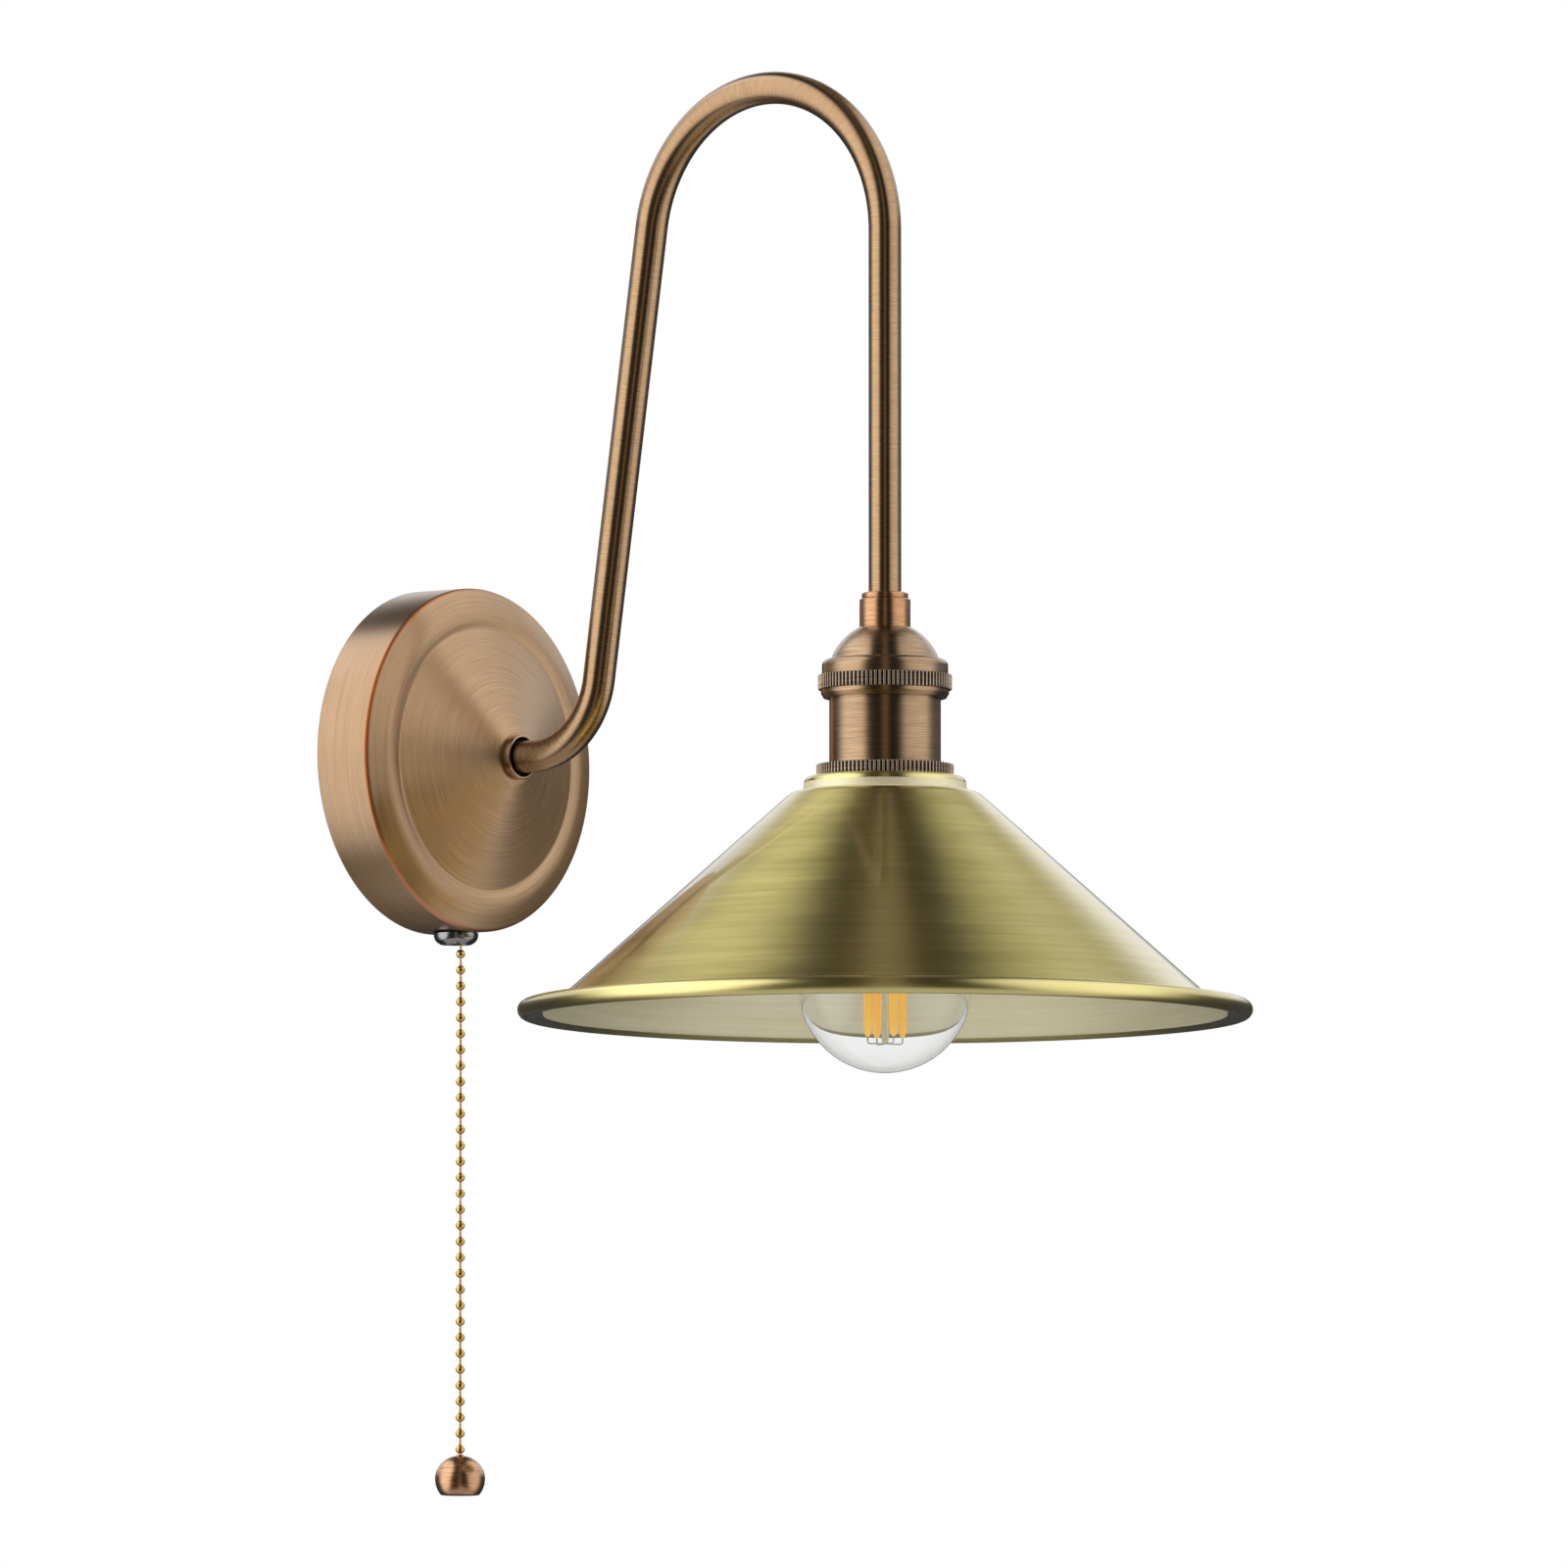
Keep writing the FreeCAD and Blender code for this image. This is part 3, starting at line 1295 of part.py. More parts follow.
def make_flex():
    """The arm's cable, along the middle of the tube from plate to holder."""
    route = arm_route()
    start = Vector(0, -S.flex_start_depth.value, 0)
    finish = Vector(0, -S.projection.value, S.flex_end_height.value)

    def arc(first, last, centre):
        middle = centre + ((first + last) * 0.5 - centre).normalize() * (first - centre).Length
        return Part.Arc(first, middle, last).toShape()

    def over_arch():
        """The long arc: its middle lies half way round from the leaning leg."""
        middle_angle = math.radians(90 + S.arm_lean.value / 2)
        offset = Vector(0, -math.cos(math.pi - middle_angle), math.sin(middle_angle))
        middle = route["arch_centre"] + offset * arch_radius().value
        return Part.Arc(route["arch_start"], middle, route["arch_end"]).toShape()

    wire = Part.Wire([
        Part.LineSegment(start, route["bend_start"]).toShape(),
        arc(route["bend_start"], route["bend_end"], route["bend_centre"]),
        Part.LineSegment(route["bend_end"], route["arch_start"]).toShape(),
        over_arch(),
        Part.LineSegment(route["arch_end"], finish).toShape(),
    ])
    sweep_round("arm_flex", [wire], S.flex_radius.value)


def make_cores():
    """Single cores behind the plate and in the holder, ending flat on what they serve."""
    flex = -S.flex_start_depth.value
    block = -S.block_offset.value
    pole = S.pole_offset.value
    switch_head = -switch_top().value
    switch_y = -S.switch_depth.value
    core_drop = switch_head + S.core_straight.value
    tag_x = S.earth_offset.value - S.tag_barrel_reach.value
    tag_y = -(S.strap_thickness + S.tag_barrel_radius + S.thread_gap).value
    routes = {
        "neutral_core": [(-1.0, flex, 1.2), (-1.0, -12.0, 1.2), (-1.0, -6.0, pole), (block, -6.0, pole)],
        "live_core": [(1.3, flex, -0.6), (1.3, -13.5, -0.6), (5.0, -10.5, -7.0), (5.0, switch_y, core_drop),
                      (5.0, switch_y, switch_head)],
        "earth_core": [(1.2, flex, 1.2), (1.2, -12.0, 1.2), (5.0, tag_y, 0.0), (tag_x, tag_y, 0.0)],
        "switch_lead": [(-5.0, switch_y, switch_head), (-5.0, switch_y, core_drop), (-0.6, -7.6, -9.0),
                        (-0.6, -5.2, -pole), (block, -5.2, -pole)],
    }
    for label, points in routes.items():
        wire, radii = soft_route([Vector(*point) for point in points])
        print(label, "bend radii", radii)
        sweep_round(label, [wire], S.core_radius.value)
    out = -S.projection.value
    top = S.flex_end_height.value
    seat = S.terminal_recess_floor.value + S.holder_screw_height.value
    screw_x = S.holder_screw_offset.value
    wires = []
    for side in (-1, 1):
        points = [(1.0 * side, out, top), (1.0 * side, out, top - 5), (screw_x * side, out, seat + 5),
                  (screw_x * side, out, seat)]
        wire, radii = soft_route([Vector(*point) for point in points])
        print("holder_cores bend radii", radii)
        wires.append(wire)
    sweep_round("holder_cores", wires, S.core_radius.value)


# ---- build ----

def check_document():
    """Stops at the first object that failed, and at any sub-part without a sound solid."""
    for item in DOC.Objects:
        bad = [state for state in item.State if state in ("Invalid", "Error")]
        if bad:
            raise RuntimeError("%s is %s: %s" % (item.Name, bad, item.getStatusString()))
    for node in NODES:
        if node.Shape.isNull() or not node.Shape.isValid() or not node.Shape.Solids:
            raise RuntimeError("%s has no sound shape" % node.Label)


def write_parts():
    os.makedirs("parts", exist_ok=True)
    for node in NODES:
        node.Shape.exportStep(os.path.join("parts", node.Label + ".step"))
    print("wrote", len(NODES), "sub-parts")


make_backplate()
make_bracket()
make_side_screw()
make_earth_point()
make_arm()
make_arm_fixings()
make_terminal_block()
make_switch()
make_bush()
make_chain(make_slider())
make_knob()
make_ferrules()
make_dome()
make_barrel(make_cap_ring())
make_insulator()
make_stop_ring()
make_shade()
make_retaining_ring()
make_glass()
make_bulb_cap()
make_bulb_core()
make_flex()
make_cores()
DOC.recompute()
check_document()
write_parts()
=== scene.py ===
import math
import bmesh
import bpy
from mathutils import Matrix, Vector


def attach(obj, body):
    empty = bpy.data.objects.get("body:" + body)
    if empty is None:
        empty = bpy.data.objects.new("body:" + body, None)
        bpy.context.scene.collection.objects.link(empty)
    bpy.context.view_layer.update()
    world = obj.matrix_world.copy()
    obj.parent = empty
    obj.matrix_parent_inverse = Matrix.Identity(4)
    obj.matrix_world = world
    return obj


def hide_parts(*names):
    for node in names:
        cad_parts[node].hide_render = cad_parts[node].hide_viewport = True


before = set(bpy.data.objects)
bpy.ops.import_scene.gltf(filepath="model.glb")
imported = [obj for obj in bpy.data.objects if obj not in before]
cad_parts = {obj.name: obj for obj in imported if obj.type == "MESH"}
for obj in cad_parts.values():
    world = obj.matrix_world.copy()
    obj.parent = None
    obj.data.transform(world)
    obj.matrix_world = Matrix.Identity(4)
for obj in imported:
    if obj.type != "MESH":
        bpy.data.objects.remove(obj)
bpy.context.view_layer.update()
mm = 0.001
reach = 155.5                                   # arm's axis to the wall
holderAxis = (0, -reach * mm, 0)
chainAxis = (0, -10.8 * mm, 0)
bushAxis = (0, -9.2 * mm, 0)
print("frame loaded")

# camera: six metres off, a little below the lamp

camera = bpy.data.objects.new("camera", bpy.data.cameras.new("camera"))
bpy.context.scene.collection.objects.link(camera)
camera.location = (-4.5982, -3.9627, -0.4955)
target = Vector((-0.00827, -0.12834, -0.01259))
camera.rotation_euler = (target - camera.location).to_track_quat("-Z", "Y").to_euler()
camera.data.sensor_fit = "HORIZONTAL"
camera.data.sensor_width = 36
camera.data.lens = 531.5
camera.data.clip_end = 60
bpy.context.scene.camera = camera
bpy.context.scene.view_settings.view_transform = "Standard"
print("camera placed")


# mesh making

def roundCorners(corners):
    # corners: (x, y) or (x, y, radius); a radius becomes a run of points
    points = []
    for i, corner in enumerate(corners):
        here = Vector(corner[:2])
        if len(corner) < 3:
            points.append(tuple(here))
            continue
        before, after = Vector(corners[i - 1][:2]), Vector(corners[(i + 1) % len(corners)][:2])
        back, ahead = (before - here).normalized(), (after - here).normalized()
        half = back.angle(ahead) / 2
        length = corner[2] / math.tan(half)
        centre = here + (back + ahead).normalized() * (corner[2] / math.sin(half))
        first, last = here + back * length - centre, here + ahead * length - centre
        sweep = first.angle_signed(last)        # clockwise positive
        steps = max(3, int(abs(sweep) / 0.16))
        for k in range(steps + 1):
            turn = -sweep * k / steps
            x = first.x * math.cos(turn) - first.y * math.sin(turn)
            y = first.x * math.sin(turn) + first.y * math.cos(turn)
            points.append((centre.x + x, centre.y + y))
    return points


def arcRun(centreX, centreY, radius, startAngle, endAngle, steps=24):
    run = []
    for k in range(steps + 1):
        angle = math.radians(startAngle + (endAngle - startAngle) * k / steps)
        run.append((centreX + radius * math.cos(angle), centreY + radius * math.sin(angle)))
    return run


def meshObject(name, verts, faces, origin=(0, 0, 0), sharpEdges=()):
    mesh = bpy.data.meshes.new(name)
    mesh.from_pydata([Vector(v) for v in verts], [], faces)
    mesh.update()
    for polygon in mesh.polygons:
        polygon.use_smooth = True
    if sharpEdges:
        wanted = set(sharpEdges)
        for edge in mesh.edges:
            if tuple(sorted(edge.vertices)) in wanted:
                edge.use_edge_sharp = True
    item = bpy.data.objects.new(name, mesh)
    item.location = origin
    bpy.context.scene.collection.objects.link(item)
    return item


def spinMesh(profile, segments, closed=True, wallAxis=False, wobble=None, creaseAngle=0.5):
    # revolves (radius, height) points in millimetres about the upright axis, or about the axis
    # out of the wall; wobble(index, segments, radius, height) may change a radius
    verts, faces, sharp, rings = [], [], [], []
    for radius, height in profile:
        ring = []
        if radius < 1e-4:
            verts.append((0, -height * mm, 0) if wallAxis else (0, 0, height * mm))
            ring = [len(verts) - 1] * segments
        else:
            for k in range(segments):
                turn = 2 * math.pi * k / segments
                r = wobble(k, segments, radius, height) if wobble else radius
                x, y = r * math.cos(turn) * mm, r * math.sin(turn) * mm
                ring.append(len(verts))
                verts.append((x, -height * mm, y) if wallAxis else (x, y, height * mm))
        rings.append(ring)
    count = len(profile)
    pairs = [(i, (i + 1) % count) for i in range(count if closed else count - 1)]
    for a, b in pairs:
        for k in range(segments):
            n = (k + 1) % segments
            quad = [rings[a][k], rings[a][n], rings[b][n], rings[b][k]]
            clean = [v for i, v in enumerate(quad) if v not in quad[:i]]
            if len(clean) > 2:
                faces.append(clean)
    for i in range(count):
        if not closed and i in (0, count - 1):
            continue
        before = Vector(profile[i]) - Vector(profile[i - 1])
        after = Vector(profile[(i + 1) % count]) - Vector(profile[i])
        if before.length > 1e-6 and after.length > 1e-6 and abs(before.angle(after)) > creaseAngle:
            ring = rings[i]
            sharp += [tuple(sorted((ring[k], ring[(k + 1) % segments]))) for k in range(segments)]
    return verts, faces, sharp


def fixNormals(item):
    work = bmesh.new()
    work.from_mesh(item.data)
    bmesh.ops.recalc_face_normals(work, faces=work.faces)
    work.to_mesh(item.data)
    work.free()


def spinPiece(name, corners, body, slot, material, origin=(0, 0, 0), segments=160, replaces=(), **options):
    profile = roundCorners(corners)
    verts, faces, sharp = spinMesh(profile, segments, **options)
    item = meshObject(name, verts, faces, origin, sharp)
    fixNormals(item)
    return finishPiece(item, body, material, replaces)


def finishPiece(item, body, material, replaces=()):
    item.data.materials.clear()
    item.data.materials.append(material)
    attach(item, body)
    if replaces:
        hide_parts(*replaces)
    return item


def tubeMesh(points, radius, segments=24, caps=True):
    # a round bar along points, in metres
    verts, faces = [], []
    side = None
    for i, point in enumerate(points):
        ahead = (points[min(i + 1, len(points) - 1)] - points[max(i - 1, 0)]).normalized()
        if side is None:
            side = ahead.orthogonal().normalized()
        side = (side - ahead * side.dot(ahead)).normalized()
        other = ahead.cross(side)
        for k in range(segments):
            turn = 2 * math.pi * k / segments
            verts.append(point + (side * math.cos(turn) + other * math.sin(turn)) * radius)
    for i in range(len(points) - 1):
        for k in range(segments):
            n = (k + 1) % segments
            a, b = i * segments, (i + 1) * segments
            faces.append((a + k, a + n, b + n, b + k))
    if caps:
        faces.append(tuple(reversed(range(segments))))
        faces.append(tuple((len(points) - 1) * segments + k for k in range(segments)))
    return verts, faces


def joinMeshes(parts):
    verts, faces = [], []
    for partVerts, partFaces in parts:
        base = len(verts)
        verts += list(partVerts)
        faces += [tuple(v + base for v in face) for face in partFaces]
    return verts, faces


# shader groups

def newGroup(name, inputs, outputs):
    group = bpy.data.node_groups.new(name, "ShaderNodeTree")
    for label, kind, value in inputs:
        socket = group.interface.new_socket(name=label, in_out="INPUT", socket_type=kind)
        if value is not None:
            socket.default_value = value
    for label, kind in outputs:
        group.interface.new_socket(name=label, in_out="OUTPUT", socket_type=kind)
    return group, group.nodes.new("NodeGroupInput"), group.nodes.new("NodeGroupOutput")


def addNode(tree, kind, links=None, **settings):
    # links: input name or number -> socket to join, or a plain value
    node = tree.nodes.new(kind)
    for key, value in settings.items():
        setattr(node, key, value)
    for key, value in (links or {}).items():
        if isinstance(value, bpy.types.NodeSocket):
            tree.links.new(value, node.inputs[key])
        else:
            node.inputs[key].default_value = value
    return node


def mathNode(tree, operation, first, second=0.0, clamp=False):
    return addNode(tree, "ShaderNodeMath", {0: first, 1: second}, operation=operation, use_clamp=clamp).outputs[0]


def easeNode(tree, value, low, high):
    return addNode(tree, "ShaderNodeMapRange", {"Value": value, "From Min": low, "From Max": high},
                   interpolation_type="SMOOTHSTEP").outputs[0]


def rampNode(tree, value, stops):
    node = addNode(tree, "ShaderNodeValToRGB", {"Fac": value})
    ramp = node.color_ramp
    ramp.elements.remove(ramp.elements[-1])
    for i, (position, colour) in enumerate(stops):
        element = ramp.elements.new(position) if i else ramp.elements[0]
        element.position = position
        element.color = (*colour, 1)
    return node.outputs["Color"]


def makeTurnedBrush():
    # fine lines round an axis: the third coordinate of Vector runs along the axis
    group, source, sink = newGroup(
        "turnedBrush",
        [("Vector", "NodeSocketVector", None), ("Around", "NodeSocketFloat", 3.0),
         ("Across", "NodeSocketFloat", 9000.0)],
        [("Lines", "NodeSocketFloat"), ("Streaks", "NodeSocketFloat"), ("Blotch", "NodeSocketFloat")])
    split = addNode(group, "ShaderNodeSeparateXYZ", {0: source.outputs["Vector"]})
    x, y, z = split.outputs
    radius = mathNode(group, "SQRT", mathNode(group, "ADD", mathNode(group, "MULTIPLY", x, x),
                                              mathNode(group, "MULTIPLY", y, y)))
    safe = mathNode(group, "MAXIMUM", radius, 0.0005)
    around = source.outputs["Around"]
    level = mathNode(group, "ADD", z, mathNode(group, "MULTIPLY", radius, 0.83))
    unitX = mathNode(group, "MULTIPLY", mathNode(group, "DIVIDE", x, safe), around)
    unitY = mathNode(group, "MULTIPLY", mathNode(group, "DIVIDE", y, safe), around)
    fine = addNode(group, "ShaderNodeCombineXYZ",
                   {0: unitX, 1: unitY, 2: mathNode(group, "MULTIPLY", level, source.outputs["Across"])})
    lines = addNode(group, "ShaderNodeTexNoise",
                    {"Vector": fine.outputs[0], "Scale": 1.0, "Detail": 5.0, "Roughness": 0.65})
    wide = addNode(group, "ShaderNodeCombineXYZ",
                   {0: unitX, 1: unitY, 2: mathNode(group, "MULTIPLY", level, 3200.0)})
    streaks = addNode(group, "ShaderNodeTexNoise",
                      {"Vector": wide.outputs[0], "Scale": 0.9, "Detail": 3.0, "Roughness": 0.6})
    blotch = addNode(group, "ShaderNodeTexNoise",
                     {"Vector": source.outputs["Vector"], "Scale": 70.0, "Detail": 4.0, "Roughness": 0.6})
    group.links.new(lines.outputs["Fac"], sink.inputs["Lines"])
    group.links.new(streaks.outputs["Fac"], sink.inputs["Streaks"])
    group.links.new(blotch.outputs["Fac"], sink.inputs["Blotch"])
    return group


def makeMottle():
    # small uneven spots, for moulded, cast and plated surfaces
    group, source, sink = newGroup(
        "mottle", [("Vector", "NodeSocketVector", None), ("Size", "NodeSocketFloat", 300.0)],
        [("Spots", "NodeSocketFloat"), ("Haze", "NodeSocketFloat")])
    spots = addNode(group, "ShaderNodeTexNoise",
                    {"Vector": source.outputs["Vector"], "Scale": source.outputs["Size"], "Detail": 6.0,
                     "Roughness": 0.7})
    haze = addNode(group, "ShaderNodeTexNoise",
                   {"Vector": source.outputs["Vector"],
                    "Scale": mathNode(group, "MULTIPLY", source.outputs["Size"], 0.12), "Detail": 2.0})
    group.links.new(spots.outputs["Fac"], sink.inputs["Spots"])
    group.links.new(haze.outputs["Fac"], sink.inputs["Haze"])
    return group


turnedBrush = makeTurnedBrush()
mottle = makeMottle()


def linear(red, green, blue):
    # a colour as seen on screen, 0 to 255, as the shader wants it
    shares = [level / 255 for level in (red, green, blue)]
    return tuple(share / 12.92 if share <= 0.04045 else ((share + 0.055) / 1.055) ** 2.4 for share in shares)


def newMaterial(name):
    material = bpy.data.materials.new(name)
    material.use_nodes = True
    return material, material.node_tree, material.node_tree.nodes["Principled BSDF"]


def surfaceVector(tree, wallAxis):
    place = addNode(tree, "ShaderNodeTexCoord").outputs["Object"]
    if not wallAxis:
        return place
    split = addNode(tree, "ShaderNodeSeparateXYZ", {0: place})
    return addNode(tree, "ShaderNodeCombineXYZ",
                   {0: split.outputs[0], 1: split.outputs[2], 2: split.outputs[1]}).outputs[0]


def brushedMetal(name, look, wallAxis=False, paintedShadeValley=None, rim=None, alongTube=False):
    # look: dark, mid, bright screen colours and the finish's numbers; valley: the radii in
    # millimetres between which a painted shade in the hollow goes from black to the bare colour;
    # rim: the radius and depth beyond which a copper highlight is painted round the front edge
    material, tree, shader = newMaterial(name)
    if alongTube:
        chart = addNode(tree, "ShaderNodeUVMap", uv_map="run").outputs[0]
        split = addNode(tree, "ShaderNodeSeparateXYZ", {0: chart})
        angle = mathNode(tree, "MULTIPLY", split.outputs[0], 2 * math.pi)
        vector = addNode(tree, "ShaderNodeCombineXYZ",
                         {0: mathNode(tree, "MULTIPLY", mathNode(tree, "COSINE", angle), 0.00425),
                          1: mathNode(tree, "MULTIPLY", mathNode(tree, "SINE", angle), 0.00425),
                          2: split.outputs[1]}).outputs[0]
    else:
        vector = surfaceVector(tree, wallAxis)
    brush = addNode(tree, "ShaderNodeGroup", node_tree=turnedBrush)
    tree.links.new(vector, brush.inputs["Vector"])
    brush.inputs["Around"].default_value = look["around"]
    brush.inputs["Across"].default_value = look["across"]
    tone = mathNode(tree, "ADD", mathNode(tree, "MULTIPLY", brush.outputs["Lines"], look["lineShare"]),
                    mathNode(tree, "ADD", mathNode(tree, "MULTIPLY", brush.outputs["Streaks"], look["streakShare"]),
                             mathNode(tree, "MULTIPLY", brush.outputs["Blotch"], look["blotchShare"])))
    colour = rampNode(tree, tone, [(0.36, linear(*look["dark"])), (0.50, linear(*look["mid"])),
                                   (0.64, linear(*look["bright"]))])
    split = addNode(tree, "ShaderNodeSeparateXYZ", {0: vector})
    radius = addNode(tree, "ShaderNodeVectorMath",
                     {0: addNode(tree, "ShaderNodeCombineXYZ", {0: split.outputs[0], 1: split.outputs[1]}).outputs[0]},
                     operation="LENGTH").outputs["Value"]
    if paintedShadeValley:
        # painted shade: black inside the inner radius, fading to the bare colour by the outer one
        unshadedShare = easeNode(tree, radius, paintedShadeValley[0] * mm, paintedShadeValley[1] * mm)
        colour = addNode(tree, "ShaderNodeMix", {0: unshadedShare, 6: (0.006, 0.004, 0.003, 1), 7: colour},
                         data_type="RGBA").outputs[2]
    # painted highlight: a copper band on the outer front edge, broken up by the streak noise
    if rim:
        outer = easeNode(tree, radius, (rim[0] - 0.5) * mm, rim[0] * mm)
        forward = easeNode(tree, split.outputs[2], -(rim[1] - 0.9) * mm, -rim[1] * mm)
        paintedEdgeHighlight = mathNode(tree, "MULTIPLY", mathNode(tree, "MULTIPLY", outer, forward),
                        easeNode(tree, brush.outputs["Streaks"], 0.3, 0.6))
        colour = addNode(tree, "ShaderNodeMix", {0: paintedEdgeHighlight, 6: colour, 7: (*linear(190, 112, 58), 1)},
                         data_type="RGBA").outputs[2]
    tree.links.new(colour, shader.inputs["Base Color"])
    shader.inputs["Metallic"].default_value = look["metallic"]
    rough = addNode(tree, "ShaderNodeMapRange",
                    {"Value": brush.outputs["Streaks"], "From Min": 0.3, "From Max": 0.7,
                     "To Min": look["rough"] - 0.03, "To Max": look["rough"] + 0.03})
    tree.links.new(rough.outputs[0], shader.inputs["Roughness"])
    shader.inputs["Anisotropic"].default_value = look["aniso"]
    shader.inputs["Anisotropic Rotation"].default_value = 0.25
    if alongTube:
        tangent = addNode(tree, "ShaderNodeTangent", direction_type="UV_MAP", uv_map="run")
    else:
        tangent = addNode(tree, "ShaderNodeTangent", direction_type="RADIAL", axis="Y" if wallAxis else "Z")
    tree.links.new(tangent.outputs[0], shader.inputs["Tangent"])
    bump = addNode(tree, "ShaderNodeBump", {"Height": brush.outputs["Lines"], "Strength": look["bump"],
                                            "Distance": 0.00006})
    tree.links.new(bump.outputs[0], shader.inputs["Normal"])
    shader.inputs["Coat Weight"].default_value = look["coat"]
    shader.inputs["Coat Roughness"].default_value = look["coatRough"]
    return material


def mottledSurface(name, colour, rough, metallic=0.0, size=300.0, depth=0.15, spread=0.12, coat=0.0):
    material, tree, shader = newMaterial(name)
    spots = addNode(tree, "ShaderNodeGroup", node_tree=mottle)
    tree.links.new(surfaceVector(tree, False), spots.inputs["Vector"])
    spots.inputs["Size"].default_value = size
    low = tuple(c * (1 - spread) for c in linear(*colour))
    high = tuple(min(1, c * (1 + spread)) for c in linear(*colour))
    tree.links.new(rampNode(tree, spots.outputs["Haze"], [(0.3, low), (0.7, high)]), shader.inputs["Base Color"])
    roughness = addNode(tree, "ShaderNodeMapRange",
                        {"Value": spots.outputs["Spots"], "From Min": 0.3, "From Max": 0.7,
                         "To Min": max(0.02, rough - 0.06), "To Max": rough + 0.08})
    tree.links.new(roughness.outputs[0], shader.inputs["Roughness"])
    shader.inputs["Metallic"].default_value = metallic
    shader.inputs["Coat Weight"].default_value = coat
    bump = addNode(tree, "ShaderNodeBump", {"Height": spots.outputs["Spots"], "Strength": depth, "Distance": 0.0001})
    tree.links.new(bump.outputs[0], shader.inputs["Normal"])
    return material


# finishes

plateLook = {"dark": (136, 103, 68), "mid": (162, 128, 90), "bright": (186, 152, 112), "around": 1.5,
             "across": 15000.0, "lineShare": 0.6, "streakShare": 0.3, "blotchShare": 0.1, "rough": 0.36, "aniso": 0.8, "bump": 0.10,
             "coat": 0.9, "coatRough": 0.25, "metallic": 1.0}
holderLook = dict(plateLook, dark=(112, 86, 58), mid=(146, 116, 82), bright=(180, 150, 114), across=14000.0,
                  rough=0.30, aniso=0.85)
ferruleLook = dict(holderLook, dark=(130, 88, 56), mid=(170, 122, 80), bright=(204, 156, 108))
knurlLook = dict(holderLook, dark=(110, 92, 72), mid=(152, 132, 108), bright=(196, 180, 156), rough=0.3, aniso=0.2)
tubeLook = dict(plateLook, dark=(128, 96, 62), mid=(152, 118, 80), bright=(176, 142, 102), rough=0.27, aniso=0.85,
                around=1.2, bump=0.06)
shadeLook = dict(plateLook, dark=(198, 184, 112), mid=(208, 195, 124), bright=(218, 205, 136), around=1.2,
                 across=11000.0, lineShare=0.7, streakShare=0.2, rough=0.33, aniso=0.85, bump=0.03, coat=1.0,
                 coatRough=0.06)
insideLook = dict(shadeLook, dark=(228, 219, 178), mid=(235, 227, 190), bright=(242, 235, 204), rough=0.5, aniso=0.3,
                  coat=0.4, coatRough=0.2, metallic=0.4)
knobLook = dict(holderLook, dark=(140, 98, 64), mid=(176, 130, 92), bright=(204, 160, 118), rough=0.28, aniso=0.4)

# the plate's front edge gets a painted copper highlight
plateBronze = brushedMetal("plateBronze", plateLook, wallAxis=True, rim=(44.7, 16.6))
# painted shade darkens the collar's throat
collarBronze = brushedMetal("collarBronze", dict(plateLook, rough=0.2), wallAxis=True, paintedShadeValley=(5.1, 5.5))
armBronze = brushedMetal("armBronze", tubeLook, alongTube=True)
holderBronze = brushedMetal("holderBronze", holderLook)
ferruleBronze = brushedMetal("ferruleBronze", ferruleLook)
# painted shade darkens the knurl notches of both rings
capKnurl = brushedMetal("capKnurl", knurlLook, paintedShadeValley=(16.9, 17.3))
stopKnurl = brushedMetal("stopKnurl", knurlLook, paintedShadeValley=(17.3, 17.75))
knobBronze = brushedMetal("knobBronze", knobLook)
shadeBrass = brushedMetal("shadeBrass", shadeLook)
shadeInside = brushedMetal("shadeInside", insideLook)
chainGold = mottledSurface("chainGold", (208, 168, 94), 0.17, metallic=1.0, size=900.0, depth=0.05, spread=0.08)
bushChrome = mottledSurface("bushChrome", (138, 138, 140), 0.16, metallic=1.0, size=520.0, depth=0.25, spread=0.25)
zincSteel = mottledSurface("zincSteel", (186, 188, 190), 0.34, metallic=1.0, size=350.0, depth=0.2, spread=0.18)
contactBrass = mottledSurface("contactBrass", (222, 190, 120), 0.3, metallic=1.0, size=350.0, depth=0.15)
whitePlastic = mottledSurface("whitePlastic", (232, 231, 226), 0.45, size=600.0, depth=0.1, spread=0.04)
blackPlastic = mottledSurface("blackPlastic", (30, 29, 28), 0.35, size=600.0, depth=0.15, spread=0.2)
porcelain = mottledSurface("porcelain", (238, 235, 227), 0.5, size=260.0, depth=0.08, spread=0.03)
flexSheath = mottledSurface("flexSheath", (206, 202, 190), 0.5, size=500.0, depth=0.1, spread=0.05)
coreBlue = mottledSurface("coreBlue", (58, 98, 168), 0.4, size=500.0, depth=0.08)
coreBrown = mottledSurface("coreBrown", (108, 68, 40), 0.4, size=500.0, depth=0.08)
coreGreen = mottledSurface("coreGreen", (120, 160, 62), 0.4, size=500.0, depth=0.08)
capAluminium = mottledSurface("capAluminium", (205, 205, 203), 0.28, metallic=1.0, size=400.0, depth=0.12)
vitrite = mottledSurface("vitrite", (22, 22, 24), 0.15, size=400.0, depth=0.1, spread=0.2)
solderGrey = mottledSurface("solderGrey", (190, 190, 188), 0.35, metallic=1.0, size=500.0, depth=0.3)
filamentYellow = mottledSurface("filamentYellow", (255, 196, 74), 0.55, size=900.0, depth=0.2, spread=0.1)
# painted glow: the filaments of the unlit bulb get a faint yellow emission
paintedFilamentGlow = filamentYellow.node_tree.nodes["Principled BSDF"]
paintedFilamentGlow.inputs["Emission Color"].default_value = (*linear(255, 186, 60), 1)
paintedFilamentGlow.inputs["Emission Strength"].default_value = 0.4
wireSteel = mottledSurface("wireSteel", (190, 188, 182), 0.22, metallic=1.0, size=700.0, depth=0.05)


